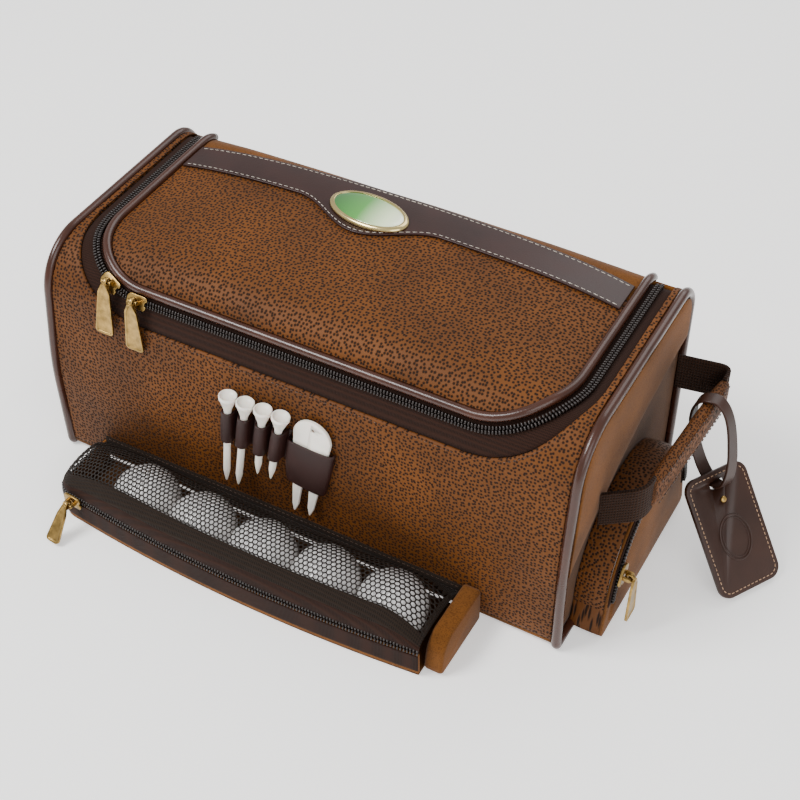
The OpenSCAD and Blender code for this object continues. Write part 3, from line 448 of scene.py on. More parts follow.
def close_edit(name):
    bpy.ops.mesh.select_all(action="SELECT")
    bpy.ops.mesh.normals_make_consistent(inside=False)
    bpy.ops.object.mode_set(mode="OBJECT")
    obj = bpy.context.object
    obj.name = obj.data.name = name
    return obj


def soften(obj, width, segments=2, angle=35):
    """Bevels the sharp edges and shades the rest smooth."""
    clear()
    obj.select_set(True)
    bpy.context.view_layer.objects.active = obj
    bevel = obj.modifiers.new("Soft Edges", "BEVEL")
    bevel.width, bevel.segments = width * MM, segments
    bevel.limit_method, bevel.angle_limit = "ANGLE", math.radians(angle)
    bpy.ops.object.modifier_apply(modifier=bevel.name)
    bpy.ops.object.shade_smooth_by_angle(angle=math.radians(40))
    return obj


def cut_plate(name, outline, thick, edge=0.3, segments=2):
    """A flat plate from an outline in X and Y, raised along Z, with rounded edges."""
    clear()
    bpy.ops.mesh.primitive_circle_add(vertices=len(outline), radius=MM, fill_type="NGON")
    obj = bpy.context.object
    for v, p in zip(obj.data.vertices, outline):
        v.co = (p[0] * MM, p[1] * MM, 0)
    bpy.ops.object.mode_set(mode="EDIT")
    bpy.ops.mesh.select_all(action="SELECT")
    bpy.ops.mesh.extrude_region_move(TRANSFORM_OT_translate={"value": (0, 0, thick * MM)})
    obj = close_edit(name)
    return soften(obj, edge, segments) if edge else obj


def turned(name, steps, sides=32, edge=0.0):
    """A round piece about Z from (radius, z) steps, drawn up ring by ring."""
    clear()
    r0, z0 = steps[0]
    bpy.ops.mesh.primitive_circle_add(
        vertices=sides, radius=r0 * MM, fill_type="NGON", location=(0, 0, z0 * MM)
    )
    bpy.ops.object.transform_apply(location=True)
    bpy.ops.object.mode_set(mode="EDIT")
    bpy.ops.mesh.select_all(action="SELECT")
    for (ra, za), (rb, zb) in zip(steps, steps[1:]):
        bpy.ops.mesh.extrude_region_move(TRANSFORM_OT_translate={"value": (0, 0, (zb - za) * MM)})
        bpy.ops.transform.resize(value=(rb / ra, rb / ra, 1))
    obj = close_edit(name)
    clear()
    obj.select_set(True)
    bpy.ops.object.shade_smooth_by_angle(angle=math.radians(45))
    return soften(obj, edge) if edge else obj


def moved(obj, matrix):
    """The piece's points moved by a matrix that works in millimetres."""
    scaled = Matrix.Scale(MM, 4) @ matrix @ Matrix.Scale(1 / MM, 4)
    obj.data.transform(scaled)
    if scaled.determinant() < 0:
        obj.data.flip_normals()
    obj.data.update()
    return obj


def joined(name, *objs):
    """Several meshes as one piece."""
    clear()
    for obj in objs:
        obj.select_set(True)
    bpy.context.view_layer.objects.active = objs[0]
    bpy.ops.object.join()
    obj = bpy.context.object
    obj.name = obj.data.name = name
    return obj


def carve(obj, cutter):
    """Cuts one mesh out of another and removes the cutter."""
    clear()
    obj.select_set(True)
    bpy.context.view_layer.objects.active = obj
    cut = obj.modifiers.new("Cut", "BOOLEAN")
    cut.operation, cut.object, cut.solver = "DIFFERENCE", cutter, "EXACT"
    bpy.ops.object.modifier_apply(modifier=cut.name)
    bpy.data.objects.remove(cutter)
    return obj


def pill(length, thick):
    """A small stitch along X, bowed into the work at both ends."""
    clear()
    bpy.ops.mesh.primitive_cylinder_add(vertices=6, radius=thick / 2 * MM, depth=length * MM)
    bpy.ops.object.mode_set(mode="EDIT")
    bpy.ops.mesh.select_all(action="SELECT")
    bpy.ops.mesh.bevel(offset=thick * 0.3 * MM, segments=1, affect="EDGES")
    obj = close_edit("stitch")
    obj.data.transform(Matrix.Rotation(math.pi / 2, 4, "Y"))
    for v in obj.data.vertices:
        v.co.z -= thick * 0.45 * MM * (2 * v.co.x / (length * MM)) ** 2
    return obj


def tooth(width, thick, high):
    """One coil of a zip, a small bar across the line of the teeth."""
    clear()
    bpy.ops.mesh.primitive_cube_add(size=1, scale=(thick * MM, width * MM, high * MM))
    bpy.ops.object.transform_apply(scale=True)
    bpy.ops.object.mode_set(mode="EDIT")
    bpy.ops.mesh.select_all(action="SELECT")
    bpy.ops.mesh.bevel(offset=thick * 0.24 * MM, segments=1, affect="EDGES")
    return close_edit("tooth")


# ---- Finishes ------------------------------------------------------------------------------

finishes = {}


def add_node(tree, kind, options=None, inputs=None):
    """A shader node with its settings, values and links; stops fills a colour ramp."""
    node = tree.nodes.new("ShaderNode" + kind)
    for name, value in (options or {}).items():
        if name == "stops":
            steps = node.color_ramp.elements
            while len(steps) < len(value):
                steps.new(0.5)
            for step, (place, colour) in zip(steps, value):
                step.position = place
                step.color = (*colour, 1)
        else:
            setattr(node, name, value)
    for name, value in (inputs or {}).items():
        socket = node.inputs[name]
        if isinstance(value, bpy.types.NodeSocket):
            tree.links.new(value, socket)
        else:
            socket.default_value = value
    return node


def shade(colour, share):
    """The colour made darker or lighter."""
    return tuple(min(1.0, c * share) for c in colour)


def new_finish(name, values):
    """A material and its shader, with the values that are the same all over set on its sockets."""
    material = bpy.data.materials.new(name)
    material.use_nodes = True
    tree = material.node_tree
    shader = tree.nodes["Principled BSDF"]
    for key, value in values.items():
        shader.inputs[key].default_value = value
    where = add_node(tree, "TexCoord")
    finishes[name] = material
    return tree, shader, where


def feed(tree, shader, colour=None, rough=None, height=None, deep=0.0002, strength=0.6):
    """Links a pattern into the shader; deep is the relief in metres."""
    if colour is not None:
        tree.links.new(colour, shader.inputs["Base Color"])
    if rough is not None:
        tree.links.new(rough, shader.inputs["Roughness"])
    if height is not None:
        bump = add_node(tree, "Bump", None,
                        {"Height": height, "Distance": deep, "Strength": strength})
        tree.links.new(bump.outputs["Normal"], shader.inputs["Normal"])


def pebbled_leather(c):
    """Pebbled leather: pigmented hide with pressed pits, dull on the ridges, pits 2 mm apart."""
    tree, shader, where = new_finish("pebbled_leather", {"Specular IOR Level": 0.2})
    wander = add_node(tree, "TexNoise", None,
                      {"Vector": where.outputs["UV"], "Scale": 150.0, "Detail": 1.0})
    shift = add_node(
        tree, "VectorMath", {"operation": "SCALE"}, {0: wander.outputs["Color"], "Scale": 0.0006}
    )
    warped = add_node(
        tree, "VectorMath", {"operation": "ADD"}, {0: where.outputs["UV"], 1: shift.outputs[0]}
    )
    # 1 / 2.3 mm gives one pit for each cell
    pits = add_node(
        tree,
        "TexVoronoi",
        {"voronoi_dimensions": "2D"},
        {"Vector": warped.outputs[0], "Scale": 440.0, "Randomness": 0.7},
    )
    dot = add_node(
        tree,
        "ValToRGB",
        {"stops": [(0.2, (0, 0, 0)), (0.42, (1, 1, 1))]},
        {"Fac": pits.outputs["Distance"]},
    )
    cloud = add_node(tree, "TexNoise", None,
                     {"Vector": where.outputs["Object"], "Scale": 22.0, "Detail": 4.0})
    hide = add_node(
        tree,
        "ValToRGB",
        {"stops": [(0.3, shade(c.leather, 0.72)), (0.55, tuple(c.leather)),
                   (0.75, shade(c.leather, 1.25))]},
        {"Fac": cloud.outputs["Fac"]},
    )
    # Painted shade: the near-black pit colour goes into the sunken pits
    both = add_node(
        tree,
        "Mix",
        {"data_type": "RGBA"},
        {0: dot.outputs["Color"], 6: (*c.leather_pit_shade, 1), 7: hide.outputs["Color"]},
    )
    rough = add_node(tree, "MapRange", None, {0: dot.outputs["Color"], 3: 0.85, 4: 0.6})
    feed(tree, shader, both.outputs[2], rough.outputs[0], dot.outputs["Color"], 0.00035, 0.7)


def suede(name, c, share=1.0):
    """Brushed suede: a short nap that scatters light, with cloudy strokes and a fine grain."""
    tree, shader, where = new_finish(
        name, {"Roughness": 0.92, "Specular IOR Level": 0.12, "Sheen Weight": 0.08,
               "Sheen Roughness": 0.5}
    )
    nap = add_node(tree, "TexNoise", None,
                   {"Vector": where.outputs["Object"], "Scale": 30.0, "Detail": 5.0})
    # Nap fibres are finer than can show, so the grain is drawn at 0.8 mm
    grain = add_node(tree, "TexNoise", None,
                     {"Vector": where.outputs["Object"], "Scale": 1250.0, "Detail": 3.0})
    tone = add_node(
        tree,
        "ValToRGB",
        {"stops": [(0.3, shade(c.suede, 0.7 * share)), (0.5, shade(c.suede, share)),
                   (0.72, shade(c.suede, 1.3 * share))]},
        {"Fac": nap.outputs["Fac"]},
    )
    speck = add_node(
        tree,
        "ValToRGB",
        {"stops": [(0.36, (0.55, 0.52, 0.5)), (0.52, (1, 1, 1))]},
        {"Fac": grain.outputs["Fac"]},
    )
    both = add_node(
        tree,
        "Mix",
        {"data_type": "RGBA", "blend_type": "MULTIPLY"},
        {0: 0.8, 6: tone.outputs["Color"], 7: speck.outputs["Color"]},
    )
    feed(tree, shader, both.outputs[2], None, grain.outputs["Fac"], 0.0003, 0.5)


def smooth_leather(name, colour, rough, coat=0.0):
    """Smooth finished leather: even pigment, a soft shine and a fine hair-cell grain."""
    tree, shader, where = new_finish(name,
                                     {"Specular IOR Level": 0.32, "Coat Weight": coat,
                                      "Coat Roughness": 0.25})
    cells = add_node(tree, "TexVoronoi", None,
                     {"Vector": where.outputs["Object"], "Scale": 1100.0})
    cloud = add_node(tree, "TexNoise", None,
                     {"Vector": where.outputs["Object"], "Scale": 45.0, "Detail": 4.0})
    tone = add_node(
        tree,
        "ValToRGB",
        {"stops": [(0.3, shade(colour, 0.75)), (0.7, shade(colour, 1.2))]},
        {"Fac": cloud.outputs["Fac"]},
    )
    gloss = add_node(tree, "MapRange", None,
                     {0: cloud.outputs["Fac"], 3: rough - 0.07, 4: rough + 0.1})
    feed(tree, shader, tone.outputs["Color"], gloss.outputs[0], cells.outputs["Distance"],
         0.0001, 0.35)


def woven(name, colour, thread, deep=0.0002, on="Object", rough=0.85):
    """Woven cloth or tape: crossing threads of the given spacing in mm, dull and dusty."""
    tree, shader, where = new_finish(name,
                                     {"Roughness": rough, "Specular IOR Level": 0.15,
                                      "Sheen Weight": 0.03})
    # A band of the wave repeats every pi / 10 of the scaled length
    scale = math.pi / 10 / (thread * MM)
    warp = add_node(
        tree,
        "TexWave",
        {"bands_direction": "X"},
        {"Vector": where.outputs[on], "Scale": scale, "Distortion": 0.6, "Detail": 1.0},
    )
    weft = add_node(
        tree,
        "TexWave",
        {"bands_direction": "Y"},
        {"Vector": where.outputs[on], "Scale": scale * 0.8, "Distortion": 0.6, "Detail": 1.0},
    )
    cross = add_node(
        tree, "Math", {"operation": "MAXIMUM"}, {0: warp.outputs["Fac"], 1: weft.outputs["Fac"]}
    )
    tone = add_node(
        tree,
        "ValToRGB",
        {"stops": [(0.2, shade(colour, 0.45)), (0.9, shade(colour, 1.2))]},
        {"Fac": cross.outputs[0]},
    )
    feed(tree, shader, tone.outputs["Color"], None, cross.outputs[0], deep, 0.8)


def hard(name, colour, rough, values, scale=60.0, spread=0.12):
    """Moulded, cast or lacquered pieces: an even colour with a faint cloud and worn gloss."""
    tree, shader, where = new_finish(name, values)
    cloud = add_node(tree, "TexNoise", None,
                     {"Vector": where.outputs["Object"], "Scale": scale, "Detail": 5.0})
    tone = add_node(
        tree,
        "ValToRGB",
        {"stops": [(0.32, shade(colour, 1 - spread * 2)), (0.68, shade(colour, 1 + spread))]},
        {"Fac": cloud.outputs["Fac"]},
    )
    gloss = add_node(tree, "MapRange", None,
                     {0: cloud.outputs["Fac"], 3: max(0.05, rough - 0.08), 4: rough + 0.1})
    feed(tree, shader, tone.outputs["Color"], gloss.outputs[0], cloud.outputs["Fac"], 0.00005, 0.2)


def green_enamel(c):
    """Vitreous enamel: deep glossy glass on metal, shaded from dark to light along the oval with
    painted light: painted shade on the left side and a pale painted highlight on the right.
    """
    tree, shader, where = new_finish(
        "green_enamel", {"Roughness": 0.12, "Coat Weight": 0.8, "Coat Roughness": 0.05}
    )
    parts = add_node(tree, "SeparateXYZ", None, {0: where.outputs["Object"]})
    across = add_node(tree, "MapRange", None, {0: parts.outputs[0], 1: -0.041, 2: 0.011})
    # Painted light along the oval: painted shade on the left, green in the middle, a near-white
    # painted highlight on the right
    tone = add_node(
        tree,
        "ValToRGB",
        {"stops": [(0.0, tuple(c.enamel_shaded_side)), (0.45, linear("#4f9440")),
                   (0.8, tuple(c.enamel_lit_side)), (1.0, linear("#f4f7e2"))]},
        {"Fac": across.outputs[0]},
    )
    feed(tree, shader, tone.outputs["Color"])


def make_finishes(c):
    pebbled_leather(c)
    suede("suede", c)
    # A darker copy of the suede: painted shade for the recessed end panels and the pocket floor
    suede("suede_painted_shade", c, 0.55)
    # A lighter copy of the suede: painted light for the front wall of the ball pocket
    suede("suede_painted_light", c, 1.45)
    smooth_leather("band_leather", c.band, 0.4, 0.08)
    smooth_leather("loop_leather", shade(c.band, 0.9), 0.45)
    smooth_leather("tag_leather", c.tag, 0.42, 0.1)
    smooth_leather("piping_cord", c.cord, 0.24, 0.25)
    woven("zip_tape", c.tape, 0.9)
    woven("net_band_cloth", shade(c.net, 1.3), 1.2, 0.0004)
    woven("webbing", c.web, 1.7, 0.0006, "UV")
    woven("lining_cloth", c.lining, 1.0)
    hard("zip_coil", c.coil, 0.38, {"Specular IOR Level": 0.5})
    hard("net_yarn", c.net, 0.65, {"Specular IOR Level": 0.3}, 400.0)
    hard("board", linear("#4a3a2c"), 0.8, {"Specular IOR Level": 0.2}, 300.0, 0.3)
    hard("sewing_thread", c.thread, 0.6, {"Sheen Weight": 0.2}, 900.0, 0.15)
    hard("tan_thread", c.tan_thread, 0.6, {"Sheen Weight": 0.2}, 900.0, 0.15)
    hard("brown_thread", shade(c.leather, 0.45), 0.6, {"Sheen Weight": 0.2}, 900.0, 0.15)
    hard("ivory_plastic", c.ivory, 0.3, {"Subsurface Weight": 0.12, "Subsurface Scale": 0.002},
         40.0, 0.03)
    hard("golf_ball", c.ball, 0.26, {"Coat Weight": 0.4, "Coat Roughness": 0.1}, 30.0, 0.02)
    hard("antique_brass", c.brass, 0.32, {"Metallic": 1.0}, 240.0, 0.22)
    hard("gold_bezel", linear("#d9c489"), 0.2, {"Metallic": 1.0}, 90.0, 0.06)
    green_enamel(c)


def dress(obj, body, finish, *nodes, slot=None):
    """Gives a finished piece its material and body, and says which nodes it stands for."""
    obj.data.materials.clear()
    obj.data.materials.append(finishes[finish])
    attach(obj, body)
    slot or finish
    if nodes:
        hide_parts(*nodes)
    return obj


# ---- Body ----------------------------------------------------------------------------------


def form_of(context):
    return Form(context.scene.golf_bag_form)


def swell(context):
    return context.scene.golf_bag_detail.fullness / MM


class GOLFBAG_OT_body(bpy.types.Operator):
    """Front, back, base, end panels and yokes of the padded body"""

    bl_idname = "golfbag.body"
    bl_label = "Body Panels"

    def execute(self, context):
        form, full = form_of(context), swell(context)
        self.front(form, full)
        self.back(form, full)
        self.base(form)
        for side in (1, -1):
            self.end(form, side, full)
        return {"FINISHED"}

    def front(self, form, full):
        u = form.u_line(form.tape_w + 0.3, form.tape_f + 0.3, 0.4, 2)
        n, rows = len(u), 44
        turn0, turn1 = 24, 24 + 28
        turn_m = turn0 + 16

        def edge(i):
            if i > (n - 1) / 2:
                x, s = edge(n - 1 - i)
                return -x, s
            if i < turn0:
                return form.wrap, u[i][1]
            if i < turn_m:
                return form.wrap, mix(u[turn0][1], form.s_base, (i - turn0) / (turn_m - turn0))
            if i < turn1:
                return mix(form.wrap, u[turn1][0], (i - turn_m) / (turn1 - turn_m)), form.s_base
            return u[i][0], form.s_base

        grid, flat = [], []
        for i in range(n):
            row, where = [], []
            for k in range(rows + 1):
                t = k / rows
                x, s = mix(u[i][0], edge(i)[0], t), mix(u[i][1], edge(i)[1], t)
                free = min(1, 14 * t * (1 - t)) * min(1, max(0, (abs(x + 8) - 48) / 20))
                rise = free * full * (0.5 + 0.8 * ripple(x, s))
                row.append(form.at(x, s, rise))
                where.append((x, s))
            grid.append(row)
            flat.append(where)
        shell = cloth("front_shell", grid, form.panel, lambda i, k: flat[i][k], flip=True)
        dress(shell, "bag", "pebbled_leather", "front_panel")

    def back(self, form, full):
        cols, rows = 80, 44
        side = [np.array(p) for p in ring(form.back_c, form.back_r, 44, 0, 10)]
        for i in range(1, rows + 1):
            z = mix(form.back_c[1], form.base_r + 0.3, i / rows)
            side.append(np.array([form.half_d, z]))
        run = run_along(side)
        grid = []
        for i, p in enumerate(side):
            a = math.radians(44 * max(0, 1 - i / 10))
            out = np.array([math.cos(a), math.sin(a)])
            row = []
            for j in range(cols + 1):
                x = mix(-form.wrap, form.wrap, j / cols)
                free = min(1, 0.12 * (form.wrap - abs(x))) * min(1, i / 12)
                free *= min(1, (len(side) - 1 - i) / 8)
                belly = 2.2 * math.sin(math.pi * i / (len(side) - 1))
                belly *= math.cos(math.pi * x / 2 / form.wrap)
                q = p + out * free * (belly + full * ripple(x, 40 + run[i]))
                row.append(np.array([x, q[0], q[1]]))
            grid.append(row)
        shell = cloth("back_shell", grid, form.panel, lambda i, j: (grid[i][j][0], run[i]))
        dress(shell, "bag", "suede", "back_panel")

    def base(self, form):
        d, r = form.half_d, form.base_r
        side = ring((d - r, r), r, 0, -90,
                    6) + [(mix(d - r, r - d, i / 24), 0.0) for i in range(1, 24)]
        side += ring((r - d, r), r, 270, 180, 6)
        grid = [[np.array([mix(-form.wrap, form.wrap, j / 60), p[0],
                           p[1]]) for j in range(61)] for p in side]
        shell = cloth("base_shell", grid, form.panel, lambda i, j: (grid[i][j][0], 3.0 * i))
        dress(shell, "bag", "suede", "base_panel")

    def end(self, form, side, full):
        """The recessed end panel, and the padded yoke that stands over it."""
        inset, foot = form.end_cord / 2 + 0.8, form.end_cord + 0.2
        rim = [p for p in form.profile(-inset, 3) if p[1] > foot + 6]
        top = sorted((y, z) for y, z in rim)
        y0, y1 = top[0][0], top[-1][0]
        cols, rows = 70, 44

        def high(y):
            near = [z for (a, z) in top if abs(a - y) < 0.02]
            return max(near) if near else float(np.interp(y, [p[0] for p in top],
                                                          [p[1] for p in top]))

        def seam(y):
            return -210 + math.sqrt(328**2 - (y - 106) ** 2)

        def patch(name, low, face, thick, puff, rim_w):
            grid = []
            for i in range(cols + 1):
                y = mix(y0, y1, (1 - math.cos(math.pi * i / cols)) / 2)
                z0, z1 = low(y), max(low(y) + 0.5, high(y))
                row = []
                for k in range(rows + 1):
                    v = k / rows
                    z = mix(z0, z1, v)
                    mound = (1 - (2 * v - 1) ** 6) * (1 - (2 * i / cols - 1) ** 6)
                    x = face + mound * (puff + 0.5 * full * ripple(y * 1.3, z))
                    row.append(np.array([side * x, y, z]))
                grid.append(row)
            return cloth(name, grid, thick, lambda i, k: (grid[i][k][1], grid[i][k][2]),
                         flip=side > 0, rim=rim_w)

        word = "right" if side > 0 else "left"
        panel = patch(word + "_end_panel", lambda y: foot, form.half_l - 1.2, 1.8, 0.1, 0.0)
        # Painted shade: the end panel takes the darker suede copy, for the recess under the handle
        dress(panel, "bag", "suede_painted_shade", word + "_side_panel", slot="suede")
        yoke = patch(
            word + "_end_yoke", lambda y: max(foot, seam(y)), form.half_l + 2.4, 3.0, 1.2, 0.9
        )
        dress(yoke, "bag", "suede", word + "_yoke")


class GOLFBAG_OT_piping(bpy.types.Operator):
    """Piping cords round both ends and round the lid"""

    bl_idname = "golfbag.piping"
    bl_label = "Piping"

    def execute(self, context):
        form = form_of(context)
        r = form.end_cord / 2
        outline = []
        for y, z in form.profile(-0.6, 3):
            p = (y, max(z, r))
            if not outline or math.dist(p, outline[-1]) > 0.3:
                outline.append(p)
        for side, word in ((1, "right"), (-1, "left")):
            path = [(side * form.half_l, y, z) for y, z in outline]
            cord = tube(word + "_end_cord", path, r, [(side, 0, 0)] * len(path), 16, True)
            dress(cord, "bag", "piping_cord", word + "_piping")
        line = form.u_line(form.lid_w0, form.lid_f0, 3, 3)
        h = form.lid_cord / 2 - 1.3
        path = [form.at(x, s, h) for x, s in line]
        cord = tube("lid_cord", path, form.lid_cord / 2, [form.normal(s) for x, s in line])
        dress(cord, "lid", "piping_cord", "lid_piping")
        return {"FINISHED"}


# ---- Lid -----------------------------------------------------------------------------------


MEDALLION_X = -15  # the medallion and the dip of the band stand left of the middle, in mm
DIP_HALF = 50  # half the length over which the band widens round the medallion, in mm


def band_low(form, x):
    """Rear edge of the lid band, as a distance from the hinge in mm."""
    return 13 + 9 * (x / form.lid_w0) ** 2


def band_high(form, x):
    """Front edge of the lid band, which dips forward round the medallion."""
    off = x - MEDALLION_X
    dip = 19 * (1 + math.cos(math.pi * off / DIP_HALF)) / 2 if abs(off) < DIP_HALF else 0
    return 41 + 3 * (x / form.lid_w0) ** 2 + dip


class GOLFBAG_OT_lid(bpy.types.Operator):
    """Padded lid: pebbled leather in front of the band and suede behind it"""

    bl_idname = "golfbag.lid"
    bl_label = "Lid"

    def execute(self, context):
        form, full = form_of(context), swell(context)
        end = form.lid_f0 - form.edge
        for name, finish, first, last in (
            ("lid_leather", "pebbled_leather", lambda u: 27.2 + 6 * u * u, lambda u: end),
            ("lid_suede", "suede", lambda u: 0.6, lambda u: 27 + 6 * u * u),
        ):
            rows, cols = (64, 84) if name == "lid_leather" else (20, 84)
            top, bottom, flat = [], [], []
            for i in range(rows + 1):
                v = math.sin(math.pi / 2 * i / rows) if name == "lid_leather" else i / rows
                top.append([])
                bottom.append([])
                flat.append([])
                for j in range(cols + 1):
                    u = math.sin(math.pi / 2 * mix(1, -1, j / cols))
                    s = mix(first(u), last(u), v)
                    x = u * form.lid_w(s)
                    free = min(1, 6 * (1 - abs(u))) * min(1, (end - s) / 14) * min(1, s / 12)
                    free *= 0 if band_low(form, x) - 4 < s < band_high(form, x) + 4 else 1
                    rise = form.lid_h(x, s) + free * full * 0.6 * ripple(x * 0.8, s * 0.8)
                    top[-1].append(form.at(x, s, rise))
                    bottom[-1].append(form.at(x, s, -form.panel))
                    flat[-1].append((x, s))
            piece = slab(name, top, bottom, lambda i, j: flat[i][j])
            dress(piece, "lid", finish, "lid_panel")
        self.band(form)
        self.medallion(form)
        return {"FINISHED"}

    def band(self, form):
        end = form.lid_w0 - form.edge - 1
        cols, rows = 130, 12
        grid, flat = [], []
        for i in range(cols + 1):
            x = mix(-end, end, i / cols)
            row, where = [], []
            for k in range(rows + 1):
                s = mix(band_low(form, x), band_high(form, x), k / rows)
                row.append(form.at(x, s, form.lid_h(x, s) + 1.75))
                where.append((x, s))
            grid.append(row)
            flat.append(where)
        strap = cloth("lid_strap", grid, 1.3, lambda i, k: flat[i][k], rim=0.4)
        dress(strap, "lid", "band_leather", "lid_band", slot="dark_leather")

    def medallion(self, form):
        x = MEDALLION_X
        s = (band_low(form, x) + band_high(form, x)) / 2 + 3
        slope = math.degrees(math.atan((form.lid_h(x, s + 1) - form.lid_h(x, s - 1)) / 2))
        seat = form.lid_h(x, s) + 1.9
        place = (
            Matrix.Translation(form.at(x, s, seat))
            @ Matrix.Rotation(math.radians(form.angle(s) - 90 - slope), 4, "X")
            @ Matrix.Rotation(math.radians(-8), 4, "Z")
        )
        clear()
        bpy.ops.mesh.primitive_circle_add(vertices=64, radius=MM, fill_type="NGON")
        bpy.ops.object.mode_set(mode="EDIT")
        bpy.ops.mesh.select_all(action="SELECT")
        bpy.ops.transform.resize(value=(28, 15.5, 1))
        for up, wide in ((0.9, 0.995), (0.9, 0.975), (0.6, 0.95)):
            bpy.ops.mesh.extrude_region_move(TRANSFORM_OT_translate={"value": (0, 0, up * MM)})
            bpy.ops.transform.resize(value=(wide, wide, 1))
        bpy.ops.mesh.inset(thickness=1.3 * MM)
        bpy.ops.mesh.extrude_region_move(TRANSFORM_OT_translate={"value": (0, 0, -1.5 * MM)})
        bezel = soften(close_edit("medallion_rim"), 0.25)
        dress(moved(bezel, place), "lid", "gold_bezel", "medallion_bezel", slot="antique_brass")
        steps = [(25.4, 0.9), (25.4, 1.7), (24.6, 2.15), (22, 2.6), (17, 3.1), (11, 3.45),
                 (5, 3.65), (1, 3.7)]
        dome = turned("medallion_enamel", steps, 64)
        squeeze = Matrix.Diagonal((1, 12.9 / 25.4, 1, 1))
        dress(moved(dome, place @ squeeze), "lid", "green_enamel", "medallion_face")


# ---- Zips ----------------------------------------------------------------------------------


class GOLFBAG_OT_lid_zip(bpy.types.Operator):
    """Zip tapes and coils round the lid"""

    bl_idname = "golfbag.lid_zip"
    bl_label = "Lid Zip"

    def ribbon(self, form, name, inner, outer, h, thick):
        cols = 5
        grid = [
            [form.at(mix(a[0], b[0], k / cols), mix(a[1], b[1], k / cols),
                     h) for k in range(cols + 1)]
            for a, b in zip(inner, outer)
        ]
        return cloth(name, grid, thick, lambda i, k: (4.0 * i, 3.0 * k), flip=True, rim=0.15)

    def execute(self, context):
        form = form_of(context)
        step = context.scene.golf_bag_detail.tooth_step / MM
        tape = self.ribbon(
            form, "body_tape", form.u_line(form.zip_w + 1.9, form.zip_f + 1.9),
            form.u_line(form.tape_w, form.tape_f), -1.5, 0.9,
        )
        dress(tape, "bag", "zip_tape", "body_zip_tape")
        tape = self.ribbon(
            form, "lid_tape", form.u_line(form.lid_w0 - form.edge + 0.3,
                                          form.lid_f0 - form.edge + 0.3),
            form.u_line(form.zip_w - 1.9, form.zip_f - 1.9), -1.5, 0.9,
        )
        dress(tape, "lid", "zip_tape", "lid_zip_tape")
        for name, body, node, off, shift in (
            ("body_coil", "bag", "body_zip_teeth", 1.2, 0.0),
            ("lid_coil", "lid", "lid_zip_teeth", -1.2, step / 2),
        ):
            line = form.u_line(form.zip_w + off, form.zip_f + off, 9, 3)
            frames = march([form.at(x, s, -0.1) for x, s in line],
                           [form.normal(s) for x, s in line], step, shift)
            dress(repeat(name, tooth(2.25, 1.15, 2.3), frames), body, "zip_coil", node)
        return {"FINISHED"}


def make_slider(name, bar_turn):
    """A zip slider over teeth that run along X; its bar stands over the plate."""
    half, wide = 7, 4.3
    outline = (
        ring((-half + 3, wide - 3), 3, 90, 180, 6)
        + ring((-half + 3, 3 - wide), 3, 180, 270, 6)
        + ring((half - 2, 2 - wide), 2, 270, 360, 4)
        + ring((half, 0), 1.4, 270, 90, 8)
        + ring((half - 2, wide - 2), 2, 0, 90, 4)
    )
    plate = cut_plate(name, outline, 1.6, 0.35, 3)
    parts = [plate]
    for side in (-1, 1):
        lug = cut_plate("lug", ring((0, 5.2), 1.3, 0, 180, 8) + [(-1.3, 1.5), (1.3, 1.5)], 1.4,
                        0.2)
        turn_up = Matrix(((0, 0, 1, 0), (1, 0, 0, 0), (0, 1, 0, 0), (0, 0, 0, 1)))
        parts.append(moved(lug, Matrix.Translation((side * 2.7 - 0.7, 0, 0)) @ turn_up))
    bar = turned("bar", [(0.9, -2.5), (1, -2.4), (1, 2.4), (0.9, 2.5)], 20)
    across = Matrix.Rotation(math.pi / 2, 4, "Y")
    parts.append(moved(bar, Matrix.Translation((0, 0, 5.2)) @ across))
    for part in parts[1:]:
        moved(part, Matrix.Rotation(math.radians(bar_turn), 4, "Z"))
    return joined(name, *parts)


def make_pull(name, length, wide):
    """A pull that hangs from an eye round X, with a sunk panel on its face."""
    clear()
    bpy.ops.mesh.primitive_torus_add(
        major_radius=2.45 * MM, minor_radius=0.75 * MM, major_segments=32, minor_segments=12
    )
    eye = bpy.context.object
    bpy.ops.object.shade_smooth()
    moved(eye, Matrix.Rotation(math.pi / 2, 4, "Y") @ Matrix.Diagonal((1, 1, 1.9, 1)))
    outline = (
        [(1.6, 0), (-1.6, 0), (-wide * 0.33, -6)]
        + ring((-wide / 2 + 2.5, -length + 2.5), 2.5, 180, 270, 6)
        + ring((wide / 2 - 2.5, -length + 2.5), 2.5, 270, 360, 6)
        + [(wide * 0.33, -6)]
    )
    tab = cut_plate("tab", outline, 1.6, 0)
    clear()
    tab.select_set(True)
    bpy.context.view_layer.objects.active = tab
    top = max((p for p in tab.data.polygons), key=lambda p: p.center.z)
    for p in tab.data.polygons:
        p.select = p.index == top.index
    for e in tab.data.edges:
        e.select = False
    for v in tab.data.vertices:
        v.select = False
    for e in top.vertices:
        tab.data.vertices[e].select = True
    bpy.ops.object.mode_set(mode="EDIT")
    bpy.ops.mesh.select_mode(type="FACE")
    bpy.ops.mesh.inset(thickness=1.25 * MM)
    bpy.ops.mesh.inset(thickness=0.3 * MM, depth=-0.4 * MM)
    tab = soften(close_edit("tab"), 0.2)
    # The tab's face looks towards -Y, away from the bag
    moved(tab, Matrix.Translation((0, -1.8, 0)) @ Matrix.Rotation(math.pi / 2, 4, "X"))
    return joined(name, eye, tab)


